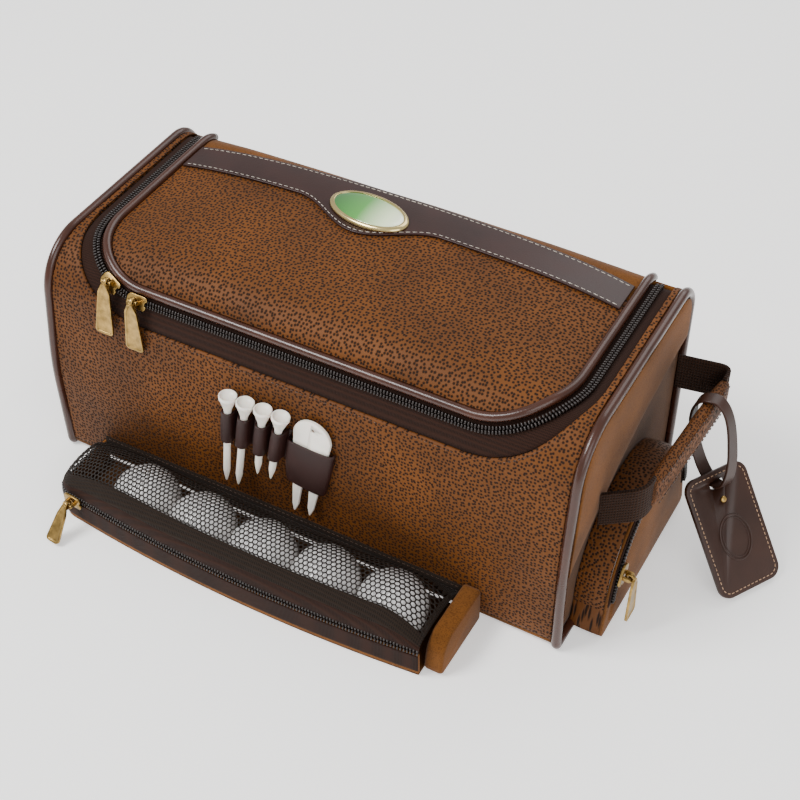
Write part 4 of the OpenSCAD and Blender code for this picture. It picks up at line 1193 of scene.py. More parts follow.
class GOLFBAG_OT_pulls(bpy.types.Operator):
    """Sliders and pulls of the four zips"""

    bl_idname = "golfbag.pulls"
    bl_label = "Sliders and Pulls"

    def execute(self, context):
        form = form_of(context)
        over = 1.5
        turn_r, turn_a = form.lid_r + 7, math.radians(24.4)
        left_x = -(form.zip_w - form.lid_r - 7) - turn_r * math.sin(turn_a)
        left_s = form.zip_f - form.lid_r - 7 + turn_r * math.cos(turn_a)
        for word, x, s, turn_on, hang in (
            ("right", -109, form.zip_f, 0, 3),
            ("left", left_x, left_s, 24.4, 11),
        ):
            up = Matrix.Rotation(math.radians(form.angle(s) - 90), 4, "X")
            seat = Matrix.Translation(form.at(x, s, over))
            place = seat @ up @ Matrix.Rotation(math.radians(-turn_on), 4, "Z")
            slider = moved(make_slider(word + "_zip_slide", turn_on), place)
            dress(slider, word + "_zip_slider", "antique_brass", word + "_slider")
            seat = Matrix.Translation(form.at(x, s, over + 5.2))
            place = seat @ Matrix.Rotation(math.radians(-hang), 4, "X")
            pull = moved(make_pull(word + "_zip_tab", 34, 13), place)
            dress(pull, word + "_zip_pull", "antique_brass", word + "_pull")
        turn_a = math.asin(-128 / 1100)

        def on_bow(out, z):
            return (
                Matrix.Translation((0, 1100 - form.half_d - 60.5, z))
                @ Matrix.Rotation(turn_a, 4, "Z")
                @ Matrix.Translation((0, -1100 - out, 0))
            )

        slider = moved(make_slider("net_zip_slide", 0),
                       on_bow(1.5, 20) @ Matrix.Rotation(math.pi / 2, 4, "X"))
        dress(slider, "net_slider", "antique_brass", "net_slider")
        pull = make_pull("net_zip_tab", 25, 10.4)
        dress(
            moved(pull, on_bow(6.7, 20) @ Matrix.Rotation(math.radians(-38), 4, "X")),
            "net_pull", "antique_brass", "net_pull",
        )
        face, mid, a = 194.45, 55.9, math.radians(153)
        place = (
            Matrix.Translation((face + 4.5, 0, 20))
            @ Matrix.Rotation(a, 4, "X")
            @ Matrix.Translation((0, mid, 0))
            @ Matrix.Rotation(math.pi / 2, 4, "Z")
            @ Matrix.Rotation(math.pi / 2, 4, "X")
            @ Matrix.Rotation(math.pi / 2, 4, "Z")
        )
        slider = moved(make_slider("end_zip_slide", 90 - 153), place)
        dress(slider, "end_slider", "antique_brass", "end_slider")
        place = Matrix.Translation((face + 9.7, mid * math.cos(a), 20 + mid * math.sin(a)))
        pull = moved(make_pull("end_zip_tab", 32, 13),
                     place @ Matrix.Rotation(math.pi / 2, 4, "Z"))
        dress(pull, "end_pull", "antique_brass", "end_pull")
        return {"FINISHED"}


# ---- Tees and divot tool -------------------------------------------------------------------

TEES = ((4.5, 70), (7.5, 70), (7, 54), (10, 54))
LEAN = 3.4


def at_tee(form, i):
    place = Matrix.Translation((-39 + 12.2 * i, form.lean_y(106, LEAN) - 5, 106))
    turn_over = Matrix.Rotation(math.radians(TEES[i][0]), 4, "Y")
    return place @ turn_over @ Matrix.Rotation(math.radians(-LEAN), 4, "X")


class GOLFBAG_OT_tees(bpy.types.Operator):
    """Tees and the leather loops that hold them"""

    bl_idname = "golfbag.tees"
    bl_label = "Tees"

    def execute(self, context):
        form = form_of(context)
        loops = []
        for i, (_, length) in enumerate(TEES):
            steps = [
                (0.25, -length), (0.7, -length + 1.2), (1.3, -length + 4.2), (1.9, -length + 7.6),
                (2.2, -length + 10), (2.2, -14), (2.35, -11.6), (2.9, -9.4), (3.9, -6.6),
                (4.7, -4.2),
                (5.25, -2.8), (5.6, -2.2), (5.6, -0.3), (5.35, 0), (4.9, 0), (4.55, -0.4),
                (4.3, -0.9),
                (3, -1.7), (1.4, -2.2), (0.3, -2.3),
            ]
            tee = moved(turned("golf_tee_%d" % (i + 1), steps, 36), at_tee(form, i))
            dress(tee, "tee_%d" % (i + 1), "ivory_plastic", "tee_%d" % (i + 1))
            loops.append(self.loop(form, i))
        piece = joined("leather_tee_loops", *loops)
        dress(piece, "bag", "loop_leather", "tee_loops", slot="dark_leather")
        return {"FINISHED"}

    def loop(self, form, i):
        """Leather folded round a shaft in an arch, with a flat foot on each side."""
        place = at_tee(form, i)
        rows, grid = 14, []
        for k in range(rows + 1):
            z = mix(-12.6, -35.4, k / rows)
            bulge = 0.25 * math.sin(math.pi * k / rows)
            section = [(-5.9, None), (-4.6, None)]
            section += [((3.9 + bulge) * math.cos(a), -(3.9 + bulge) * math.sin(a)) for a in
                        (math.radians(180 - 180 * q / 16) for q in range(17))]
            section += [(4.6, None), (5.9, None)]
            row = []
            for x, y in section:
                p = np.array(place @ Vector((x, y or 0, z)))
                if y is None:
                    p[1] = form.front_y(p[2]) - 0.9
                elif y > -0.6:
                    p[1] = mix(p[1], form.front_y(p[2]) - 1.4, 0.55)
                row.append(p)
            grid.append(row)
        strip = cloth("loop", grid, 1.2, lambda a, b: (1.4 * b, 1.6 * a), flip=True, rim=0.2)
        return strip


class GOLFBAG_OT_tool(bpy.types.Operator):
    """Divot tool and its leather sleeve"""

    bl_idname = "golfbag.tool"
    bl_label = "Divot Tool"

    def execute(self, context):
        form = form_of(context)
        w, length, t = 25, 77, 2.4
        place = (
            Matrix.Translation((18, form.lean_y(107, LEAN) - 1.5, 107))
            @ Matrix.Rotation(math.radians(7.5), 4, "Y")
            @ Matrix.Rotation(math.radians(-LEAN), 4, "X")
        )

        def half(z):
            return mix(w / 2, w / 2 - 3.5, min(1, max(0, (-z - w / 2) / (length * 0.5))))

        tip = w / 2 * 0.42
        outline = ring((0, -w / 2), w / 2, 0, 180, 28) + [
            (-half(-30), -30), (-half(-length * 0.6), -length * 0.6), (-tip - 2, -length + 6),
            (-tip - 0.5, -length + 0.6),
            (-tip, -length), (-tip + 0.6, -length + 0.8), (-tip + 2, -length + 6),
            (-2.2, -length * 0.62),
            (-1.2, -length * 0.6), (1.2, -length * 0.6), (2.2, -length * 0.62),
            (tip - 2, -length + 8),
            (tip - 0.5, -length + 2.6), (tip, -length + 2), (tip + 0.5, -length + 2.6),
            (tip + 2, -length + 8),
            (half(-length * 0.6), -length * 0.6), (half(-30), -30),
        ]
        tool = cut_plate("divot_fork", outline, t, 0.7, 3)
        pin = turned("pin", [(1.5, -1), (1.5, 4)], 24)
        carve(tool, moved(pin, Matrix.Translation((0, -6, 0))))
        stand = Matrix.Translation((0, t / 2, 0)) @ Matrix.Rotation(math.pi / 2, 4, "X")
        dress(moved(tool, place @ stand), "divot_tool", "ivory_plastic", "divot_tool")
        rows, cols, grid = 24, 36, []
        for k in range(rows + 1):
            v = k / rows
            z = mix(-19.5, -52, v)
            wide = mix(15.9, 13.4, v) + 0.5 * math.sin(math.pi * v)
            row = []
            for q in range(cols + 1):
                a = math.pi * (1 - q / cols)
                c, s = math.cos(a), math.sin(a)
                x = wide * math.copysign(abs(c) ** 0.62, c)
                skew = 1.5 * x / 16 * (1 - v)
                p = np.array(place @ Vector((x, 0, z + skew)))
                skin_y = form.front_y(p[2]) - 0.7
                front = np.array(place @ Vector((x, -3.3 - 0.7 * math.sin(math.pi * v), z)))[1]
                p[1] = mix(skin_y, front, abs(s) ** 0.45)
                row.append(p)
            grid.append(row)
        sleeve = cloth("leather_tool_sleeve", grid, 1.3, lambda i, k: (k * 1.1, i * 1.8),
                       flip=True, rim=0.25)
        dress(sleeve, "bag", "loop_leather", "tool_sleeve", slot="dark_leather")
        return {"FINISHED"}


# ---- Ball pocket ---------------------------------------------------------------------------


class Pocket:
    """The bowed ball pocket and the path of its net flap, in millimetres."""

    left, right, end, reach = 146.0, 116.0, 128.0, 60.5
    wall, high, round_r, bow_r = 1.8, 18.0, 15.0, 1100.0
    ball_r, pitch = 21.335, 43.5

    def __init__(self, form):
        self.back = -form.half_d
        self.bow_y0 = self.bow_r - form.half_d - self.reach
        self.ball_z = self.wall + 0.1 + self.ball_r
        self.hinge = np.array([self.back - 3, 17.5])
        self.net_r = self.ball_r + 0.9
        self.c = np.array([self.ball_y(0), self.ball_z])
        far = np.linalg.norm(self.c - self.hinge)
        lean = math.atan2(self.ball_z - self.hinge[1], self.hinge[0] - self.c[0])
        self.touch = lean + math.asin(self.net_r / far)
        self.straight = math.sqrt(far**2 - self.net_r**2)

    def bow(self, x, inset=0.0):
        return self.bow_y0 - math.sqrt((self.bow_r - inset) ** 2 - x * x)

    def ball_y(self, x):
        return self.bow(x, self.wall) + self.ball_r + 0.6

    def line(self, inset, last, fine=3):
        """Front outline (X, Y) from the left end, moved inwards by inset."""
        r, x0 = self.round_r - inset, -self.left + inset
        y0 = self.bow(-self.left + self.round_r, inset)
        n = 18 * fine
        out = [(x0, mix(self.back - 0.3, y0 + r, i / 12)) for i in range(12)]
        out += ring((x0 + r, y0 + r), r, 180, 264, 8 * fine)
        xs = [mix(x0 + r, last, i / n) for i in range(1, n + 1)]
        return out + [(x, self.bow(x, inset)) for x in xs]

    def full(self, t, h):
        bend, over = 0.35, math.radians(97)
        if t < bend:
            rise = np.array([-math.cos(self.touch), math.sin(self.touch)])
            p = self.hinge + t / bend * self.straight * rise
            return p + h * np.array([math.sin(self.touch), math.cos(self.touch)])
        a = math.pi / 2 + mix(self.touch - math.pi / 2, over, (t - bend) / (1 - bend))
        return self.c + (self.net_r + h) * np.array([math.cos(a), math.sin(a)])

    def net(self, x, t, h):
        """Point of the flap at x, share t from its hinge to its zip, and height h."""
        bend, far, corner = 0.35, 2 * self.pitch, self.round_r - self.left
        limit = (self.left - 2 if x < 0 else self.right - 0.3) - far
        sink = mix(0.3, 1, 1 - min(1, max(0, abs(x) - far) / limit) ** 2)
        p, q = self.full(t, h), self.full(1, 0)
        base = mix(self.hinge[1], self.high + 2.2, t)
        bow = self.bow(max(x, corner)) - self.bow(0)
        reach = self.bow(corner) - self.hinge[0]
        cut = self.round_r - math.sqrt(max(0, self.round_r**2 - max(0, corner - x) ** 2))
        y = self.hinge[0] + (p[0] - self.hinge[0] + bow * min(1, t / bend)) * (1 + cut / reach)
        return np.array([x, y, base + (p[1] - mix(self.hinge[1], q[1], t)) * sink])

    def net_up(self, x, t):
        a = self.net(x + 0.5, t, 0) - self.net(x - 0.5, t, 0)
        b = self.net(x, min(1, t + 0.005), 0) - self.net(x, t - 0.005, 0)
        return unit(np.cross(b, a))


class GOLFBAG_OT_pocket(bpy.types.Operator):
    """Pocket wall, floor, leather end, hinge binding and lower half of its zip"""

    bl_idname = "golfbag.pocket"
    bl_label = "Ball Pocket"

    def execute(self, context):
        form = form_of(context)
        pocket = Pocket(form)
        step = context.scene.golf_bag_detail.tooth_step / MM
        line = pocket.line(0, pocket.right)
        levels = [0.4, 2, 4, 6, 8, 10, 12, 14, 16, 18]
        grid = [[np.array([x, y, z]) for z in levels] for x, y in line]
        wall = cloth("pocket_wall", grid, 1.8, lambda i, k: (3.0 * i, levels[k]), flip=True,
                     rim=0.3)
        # Painted light: the pocket wall takes the lighter suede copy
        dress(wall, "bag", "suede_painted_light", "pocket_base", slot="suede")
        floor = cut_plate("pocket_floor", line + [(pocket.right, pocket.back - 0.3)], 1.8, 0.4)
        # Painted shade: the pocket floor takes the darker suede copy
        dress(floor, "bag", "suede_painted_shade", "pocket_base", slot="suede")
        levels = [4.5, 6, 8, 10, 12, 14, 16, 17.6]
        line = pocket.line(-0.9, pocket.right)
        grid = [[np.array([x, y, z]) for z in levels] for x, y in line]
        tape = cloth("pocket_tape", grid, 0.8, lambda i, k: (3.0 * i, levels[k]), flip=True,
                     rim=0.15)
        dress(tape, "bag", "zip_tape", "pocket_zip_tape")
        line = pocket.line(0.5, pocket.right)
        path = [(x, y, 18.95) for x, y in line]
        outs = [unit(np.cross(unit(np.subtract(b, a)), (0, 0, 1))) for a, b in zip(path, path[1:])]
        frames = march(path, outs + [outs[-1]], step, 6)
        dress(repeat("pocket_coil", tooth(1.8, 1.15, 2.5), frames), "bag", "zip_coil",
              "pocket_zip_teeth")
        self.end_tab(pocket)
        self.binding(pocket)
        return {"FINISHED"}

    def end_tab(self, pocket):
        y1, top = pocket.bow(pocket.end) + 3, 26
        side = [(-pocket.back + 0.3, 0), (-pocket.back + 0.3, top)]
        side += [(-y, z) for y, z in ring((y1 + 16, top - 14), 14, 90, 170, 12)]
        side += [(-y1, 4), (-y1 - 2, 0)]
        tab = cut_plate("pocket_end", side, pocket.end - pocket.right - 0.3, 2.4, 4)
        # The outline's X is the depth towards the front, and its Y is up
        stand = Matrix(((0, 0, 1, pocket.right + 0.3), (-1, 0, 0, 0), (0, 1, 0, 0), (0, 0, 0, 1)))
        dress(moved(tab, stand), "bag", "suede", "pocket_end_panel")

    def binding(self, pocket):
        section = [(0, 15.8), (-0.9, 16.1), (-1.5, 17.3), (-1.7, 19), (-1.5, 20.8), (-0.9, 22),
                   (0, 22.3)]
        grid = []
        for i in range(91):
            x = mix(-pocket.left + 2, pocket.right, i / 90)
            wave = 0.15 * math.sin(x / 7.0)
            grid.append([np.array([x, pocket.back - 0.1 + y * (1 + wave * 0.4),
                                   z + wave * 0.5]) for y, z in section])
        strip = cloth("net_binding", grid, 0.9, lambda i, k: (3.0 * i, 1.3 * k), flip=True,
                      rim=0.1)
        dress(strip, "bag", "net_band_cloth", "pocket_binding", slot="zip_tape")


class GOLFBAG_OT_net(bpy.types.Operator):
    """Net flap of the ball pocket: knitted net, hem, woven band and upper half of the zip"""

    bl_idname = "golfbag.net"
    bl_label = "Net Flap"

    def execute(self, context):
        pocket = Pocket(form_of(context))
        detail = context.scene.golf_bag_detail
        self.lattice(pocket, detail.net_cell / MM, detail.net_strand / MM)
        xs = [-pocket.left + 2 + i * 1.4 for i in range(11)]
        xs += [mix(-pocket.left + 18, pocket.right - 0.3, i / 100) for i in range(101)]

        def patch(name, t0, t1, n, h, thick, rim):
            grid = [[pocket.net(x, mix(t0, t1, k / n), h) for k in range(n + 1)] for x in xs]
            return cloth(name, grid, thick, lambda i, k: (2.4 * i, 1.4 * k), rim=rim)

        band = patch("net_edge_band", 0.738, 0.864, 6, 1.4, 1.2, 0.35)
        dress(band, "net_flap", "net_band_cloth", "net_band", slot="dark_leather")
        tape = patch("net_tape", 0.862, 0.992, 8, 0.9, 0.8, 0.15)
        dress(tape, "net_flap", "zip_tape", "net_zip_tape")
        t = 0.984
        frames = march(
            [pocket.net(x, t, 0.5) for x in xs], [pocket.net_up(x, t) for x in xs],
            detail.tooth_step / MM, 1.0,
        )
        dress(repeat("net_coil", tooth(1.8, 1.15, 2.4), frames), "net_flap", "zip_coil",
              "net_zip_teeth")
        hems = [patch("hem", 0.0, 0.045, 2, 0.95, 0.8, 0.1)]
        for x0, x1 in ((xs[0], xs[0] + 2.6), (xs[-1] - 2.6, xs[-1])):
            grid = [[pocket.net(mix(x0, x1, i / 2), mix(0, 0.74, k / 40),
                                0.95) for k in range(41)] for i in range(3)]
            hems.append(cloth("hem", grid, 0.8, lambda i, k: (1.3 * i, 1.5 * k), rim=0.1))
        dress(joined("net_hem", *hems), "net_flap", "net_band_cloth", "net_cover", slot="net_mesh")
        return {"FINISHED"}

    def lattice(self, pocket, cell, strand):
        """Six-sided cells cut from one cloth; strands are what is left between them."""
        ts = [0.75 * i / 150 for i in range(151)]
        line = [pocket.net(0, t, 0.45) for t in ts]
        run = run_along(line)
        side = cell / math.sqrt(3)
        x0, x1, far = -pocket.left + 3.2, pocket.right - 1.8, run[-1]
        corners = [(side * math.sin(math.radians(60 * k)),
                    side * math.cos(math.radians(60 * k))) for k in range(6)]
        inner = 1 - strand / cell
        points, index, faces, area = [], {}, [], 0.0
        for row in range(int(far / (1.5 * side)) + 1):
            v = 1.2 + row * 1.5 * side
            if v > far:
                break
            for col in range(int((x1 - x0) / cell) + 1):
                u = x0 + (col + 0.5 * (row % 2)) * cell
                if u > x1:
                    continue
                rim, hole = [], []
                for a, b in corners:
                    key = (round((u + a) * 50), round((v + b) * 50))
                    if key not in index:
                        index[key] = len(points)
                        points.append((u + a, v + b))
                    rim.append(index[key])
                    hole.append(len(points))
                    points.append((u + a * inner, v + b * inner))
                faces += [(rim[k], rim[(k + 1) % 6], hole[(k + 1) % 6], hole[k]) for k in range(6)]
                area += 1.5 * math.sqrt(3) * side * side * (1 - inner * inner)
        lo, hi = -pocket.left + 2, pocket.right - 0.3
        places = [
            pocket.net(min(hi, max(lo, u)), float(np.interp(max(0, v), run, ts)), 0.45)
            for u, v in points
        ]
        net = new_piece("net_lattice", places, faces)
        solid = net.modifiers.new("Yarn", "SOLIDIFY")
        solid.thickness, solid.offset = 0.45 * MM, 0
        dress(net, "net_flap", "net_yarn", "net_cover", slot="net_mesh")


class GOLFBAG_OT_balls(bpy.types.Operator):
    """Dimpled golf balls in a row"""

    bl_idname = "golfbag.balls"
    bl_label = "Golf Balls"

    def execute(self, context):
        pocket = Pocket(form_of(context))
        detail = context.scene.golf_bag_detail
        clear()
        bpy.ops.mesh.primitive_ico_sphere_add(subdivisions=6, radius=pocket.ball_r * MM)
        ball = bpy.context.object
        bpy.ops.object.shade_smooth()
        n = detail.dimples
        k = np.arange(n) + 0.5
        rise, around = 1 - 2 * k / n, math.pi * (1 + 5**0.5) * k
        flat = np.sqrt(1 - rise**2)
        dimples = np.stack([flat * np.cos(around), flat * np.sin(around), rise], 1)
        co = np.array([v.co for v in ball.data.vertices])
        out = co / np.linalg.norm(co, axis=1)[:, None]
        away = np.arccos(np.clip((out @ dimples.T).max(1), -1, 1)) * pocket.ball_r
        cup = np.clip(1 - (away / (detail.dimple / MM / 2)) ** 2, 0, 1)
        co -= out * (cup * detail.dimple_deep)[:, None]
        for v, p in zip(ball.data.vertices, co):
            v.co = p
        balls = [ball]
        for i in range(1, 5):
            copy = ball.copy()
            copy.data = ball.data.copy()
            context.scene.collection.objects.link(copy)
            balls.append(copy)
        for i, piece in enumerate(balls):
            x = (i - 2) * pocket.pitch
            turned_ball = Matrix.Rotation(0.7 * i, 4, "Z") @ Matrix.Rotation(0.5 + 0.9 * i, 4, "X")
            moved(piece, Matrix.Translation((x, pocket.ball_y(x), pocket.ball_z)) @ turned_ball)
            piece.name = piece.data.name = "ball_%d" % (i + 1)
            dress(piece, "bag", "golf_ball", "golf_balls")
        return {"FINISHED"}


# ---- End pocket ----------------------------------------------------------------------------


class GOLFBAG_OT_end_pocket(bpy.types.Operator):
    """Arched pocket on the right end, with its padded face and zip"""

    bl_idname = "golfbag.end_pocket"
    bl_label = "End Pocket"

    def execute(self, context):
        form, full = form_of(context), swell(context)
        arch, r = (0.0, 20.0), 60.0
        x0, x1 = form.half_l - 0.7, form.half_l + 18.3
        side = [(62, 0.3), (64, 3)] + ring(arch, r, 0, 180, 72) + [(-64, 3), (-62, 0.3)]
        grid = []
        for i, (y, z) in enumerate(side):
            out = unit((y, max(0.5, z - 20)))
            row = []
            for k in range(13):
                v = k / 12
                belly = 1.1 * math.sin(math.pi * v) * (1 if 3 < i < len(side) - 4 else 0.3)
                belly += 0.3 * full * ripple(3 * i, 20 * v)
                row.append(np.array([mix(x0, x1, v), y + out[0] * belly,
                                     max(0.3, z + out[1] * belly)]))
            grid.append(row)
        wall = cloth("end_pocket_side", grid, 1.8, lambda i, k: (2.6 * i, 1.6 * k), flip=True,
                     rim=0.3)
        dress(wall, "bag", "pebbled_leather", "end_pocket_wall")
        face = x1 + 0.15
        outline = ring(arch, r, 0, 180, 72) + [(-64, 3), (-62, 0.3), (-30, 0.3), (0, 0.3),
                                               (30, 0.3), (62, 0.3), (64, 3)]
        steps = [(1, 0), (1, 1.1), (0.988, 1.6), (0.93, 1.65), (0.862, 1.6), (0.85, 2.2),
                 (0.83, 2.9)]
        crown = (0.78, 0.7, 0.6, 0.5, 0.4, 0.3, 0.2, 0.1, 0.03)
        steps += [(k, 2.9 + 2.1 * (1 - (k / 0.83) ** 2.2)) for k in crown]
        points, uvs = [], []
        for k, out in steps:
            for y, z in outline:
                y, z = y * k, mix(34, z, k)
                soft = full * 0.5 * ripple(y * 1.4, z * 1.4) if 0.05 < k < 0.8 else 0
                points.append((face + out + soft, y, z))
                uvs.append((y * MM, z * MM))
        m = len(outline)
        faces = grid_faces(len(steps), m, False, True)
        faces += [tuple(range(m)), tuple((len(steps) - 1) * m + j for j in range(m))]
        pad = outward(new_piece("end_pocket_front", points, faces, uvs))
        dress(pad, "bag", "suede", "end_pocket_face")
        grid = [
            [
                np.array([face + 2.4, q * math.cos(a), 20 + q * math.sin(a)])
                for q in (53.9, 55.5, 57.5, 59.4)
            ]
            for a in (math.radians(4 + 172 * i / 90) for i in range(91))
        ]
        tape = cloth("end_pocket_tape", grid, 0.65, lambda i, k: (2.0 * i, 1.8 * k))
        dress(tape, "bag", "zip_tape", "end_zip_tape")
        frames, step = [], context.scene.golf_bag_detail.tooth_step / MM
        for q, first in ((55.1, 6.0), (56.7, 7.0)):
            path = [(face + 3.35, q * math.cos(a), 20 + q * math.sin(a)) for a in
                    (math.radians(mix(first, 174, i / 60)) for i in range(61))]
            frames += march(path, [(1, 0, 0)] * 61, step)
        dress(repeat("end_pocket_coil", tooth(2.1, 1.15, 1.7), frames), "bag", "zip_coil",
              "end_zip_teeth")
        return {"FINISHED"}


# ---- Handles and luggage tag ---------------------------------------------------------------


class Handle:
    """Corners of a handle on the right end, in millimetres."""

    def __init__(self, form):
        x = form.half_l + 4.3
        self.corners = [
            np.array(p, float)
            for p in ((x, -48, 88), (form.half_l + 28, -45, 101), (form.half_l + 34, 74, 98),
                      (x, 62, 104))
        ]
        self.along = unit(self.corners[2] - self.corners[1])
        self.start = self.corners[1] + self.along * 9
        self.stop = self.corners[2] - self.along * 9
        path = [self.corners[0]]
        for a, b, c in zip(self.corners, self.corners[1:], self.corners[2:]):
            p, q = b + unit(a - b) * 8, b + unit(c - b) * 8
            path += [mix(mix(p, b, t), mix(b, q, t), t) for t in (k / 10 for k in range(11))]
        self.path = path + [self.corners[3]]

    def strap(self, first):
        """Centre line of the front or the rear strap, in small steps."""
        if first:
            rough = self.path[:12] + [self.start + self.along * 3]
        else:
            rough = [self.stop - self.along * 3] + self.path[12:]
        out = []
        for a, b in zip(rough, rough[1:]):
            n = max(1, int(np.linalg.norm(b - a) / 2))
            out += [mix(a, b, i / n) for i in range(n)]
        return out + [rough[-1]]


class GOLFBAG_OT_handles(bpy.types.Operator):
    """Ribbed webbing and padded grips at both ends"""

    bl_idname = "golfbag.handles"
    bl_label = "Handles"

    def execute(self, context):
        form, full = form_of(context), swell(context)
        handle = Handle(form)
        for side, word in ((1, "right"), (-1, "left")):
            mirror = Matrix.Diagonal((side, 1, 1, 1))
            straps = []
            for first in (True, False):
                path = handle.strap(first)
                run = run_along(path)
                grid = [[p + np.array([0, 0,
                                       mix(-12.5, 12.5,
                                           k / 12)]) for k in range(13)] for p in path]
                straps.append(
                    cloth("strap", grid, 2.2, lambda i, k: (run[i], mix(-12.5, 12.5, k / 12)),
                          side=0, rim=0.6)
                )
            web = moved(joined(word + "_handle_web", *straps), mirror)
            dress(web, word + "_handle", "webbing", word + "_webbing")
            grip = moved(self.grip(handle, word + "_handle_grip", full), mirror)
            dress(grip, word + "_handle", "pebbled_leather", word + "_grip")
        return {"FINISHED"}

    def grip(self, handle, name, full):
        """Leather wrapped round foam: flat on its two faces, pinched at its sewn ends."""
        rows, sides = 64, 36
        length = np.linalg.norm(handle.stop - handle.start)
        points, uvs = [], []
        for i in range(rows + 1):
            t = i / rows
            c = mix(handle.start, handle.stop, t)
            end = min(t, 1 - t)
            pinch = mix(0.8, 1, min(1, end / 0.05) ** 0.5)
            thick = mix(0.62, 1, min(1, end / 0.14) ** 0.6)
            for k in range(sides):
                a = 2 * math.pi * k / sides
                x = 4.5 * thick * math.copysign(abs(math.cos(a)) ** 0.75, math.cos(a))
                z = 10.5 * pinch * math.copysign(abs(math.sin(a)) ** 0.62, math.sin(a))
                swell_by = full * 0.35 * ripple(length * t * 1.6, k * 4.0) * min(1, end / 0.1)
                points.append((c[0] + x * (1 + 0.12 * swell_by), c[1], c[2] + z + 0.5 * swell_by))
                uvs.append((length * t * MM, a * 9 * MM))
        faces = grid_faces(rows + 1, sides, False, True)
        faces += [tuple(range(sides)), tuple(rows * sides + k for k in range(sides))]
        return outward(new_piece(name, points, faces, uvs))


def tag_frame(form):
    """(matrix of the tag, its edge direction): X across it, -Y down it, Z out of its face."""
    edge = unit((0.508, 0.861, 0))
    out = np.cross(edge, (0.516, -0.417, -0.749))
    down = unit(np.cross(out, edge))
    slot = (form.half_l + 46, 36, 67 * -down[2] + 2.1)
    m = Matrix((edge, -down, -out)).transposed().to_4x4()
    m.translation = Vector(slot)
    return m, edge


def rounded(w, y0, y1, r, n=8):
    """Rounded rectangle of width w between y0 and y1."""
    h = w / 2 - r
    return (
        ring((h, y1 - r), r, 0, 90, n) + ring((-h, y1 - r), r, 90, 180, n)
        + ring((-h, y0 + r), r, 180, 270, n) + ring((h, y0 + r), r, 270, 360, n)
    )


class GOLFBAG_OT_tag(bpy.types.Operator):
    """Luggage tag with its strap, rivet, pressed oval and stitched border"""

    bl_idname = "golfbag.tag"
    bl_label = "Luggage Tag"

    def execute(self, context):
        form = form_of(context)
        place, edge = tag_frame(form)
        plate = cut_plate("luggage_tag_plate", rounded(45, -67, 8, 8), 3, 0.6, 3)
        hole = cut_plate("hole", rounded(11.5, -2.2, 2.2, 1.6, 4), 6, 0)
        carve(plate, moved(hole, Matrix.Translation((0, 0, -1.5))))
        moved(plate, Matrix.Translation((0, 0, -1.5)))
        marks = []
        for wide, high, r in ((21, 28, 0.55), (17.5, 24.5, 0.35)):
            turns = [2 * math.pi * i / 72 for i in range(72)]
            path = [(wide / 2 * math.cos(a), -34 + high / 2 * math.sin(a), 1.5) for a in turns]
            marks.append(tube("mark", path, r, [(0, 0, 1)] * 72, 8, True))
        plate = joined("luggage_tag_plate", plate, *marks)
        dress(moved(plate, place), "luggage_tag", "tag_leather", "tag_plate", slot="dark_leather")
        border = rounded(39.6, -64.3, 5.3, 5.6, 8)
        path = [place @ Vector((x, y, 1.55)) for x, y in border + border[:1]]
        up = (place.to_3x3() @ Vector((0, 0, 1)))[:]
        frames = march([p[:] for p in path], [up] * len(path), 2.9)
        thread = repeat("tag_stitching", pill(2.1, 0.75), frames)
        dress(thread, "luggage_tag", "tan_thread", slot="dark_leather")
        self.strap(form, place, edge)
        stud = turned("tag_rivet", [(2, 0), (2, 0.5), (1.85, 0.85), (1.4, 1.15), (0.4, 1.25)], 24)
        dress(moved(stud, place @ Matrix.Translation((0, -10, 1.65))), "luggage_tag",
              "antique_brass", "tag_stud")
        return {"FINISHED"}

    def strap(self, form, place, edge):
        handle = Handle(form)
        slot = np.array(place.translation)
        middle = handle.start + handle.along * (41 - handle.start[1]) / handle.along[1]
        top = middle + np.array([0, 0, 12.6])
        centre, half = (top + slot) / 2, np.linalg.norm(top - slot) / 2
        up = unit(top - slot)

        def lateral(v):
            return unit(v - up * (np.asarray(v) @ up))

        down = -np.array(place.to_3x3() @ Vector((0, 1, 0)))
        a_top, a_low = lateral(np.array([1.0, 0, 0])), lateral(-unit(np.cross(edge, down)))
        n, loop, wide = 96, [], []
        for i in range(n):
            c, s = math.cos(2 * math.pi * i / n), math.sin(2 * math.pi * i / n)
            side = unit(mix(a_low, a_top, (1 + c) / 2))
            loop.append(
                centre
                + side * 13 * math.copysign(abs(s) ** 0.8, s)
                + up * half * math.copysign(abs(c) ** 0.8, c)
            )
            wide.append(unit(mix(edge, np.array([0, 1.0, 0]), (1 + c) / 2)))
        points = []
        for i in range(n):
            along = unit(loop[(i + 1) % n] - loop[i - 1])
            thick = unit(np.cross(along, wide[i]))
            for a, b in ((4.25, 0.55), (3.9, 0.8), (-3.9, 0.8), (-4.25, 0.55), (-4.25, -0.55),
                         (-3.9, -0.8), (3.9, -0.8), (4.25, -0.55)):
                points.append(loop[i] + wide[i] * a + thick * b)
        strap = outward(new_piece("tag_loop", points, grid_faces(n, 8, True, True), None, False))
        clear()
        strap.select_set(True)
        bpy.context.view_layer.objects.active = strap
        bpy.ops.object.shade_smooth_by_angle(angle=math.radians(30))
        dress(strap, "luggage_tag", "tag_leather", "tag_strap", slot="dark_leather")


# ---- Stitching -----------------------------------------------------------------------------


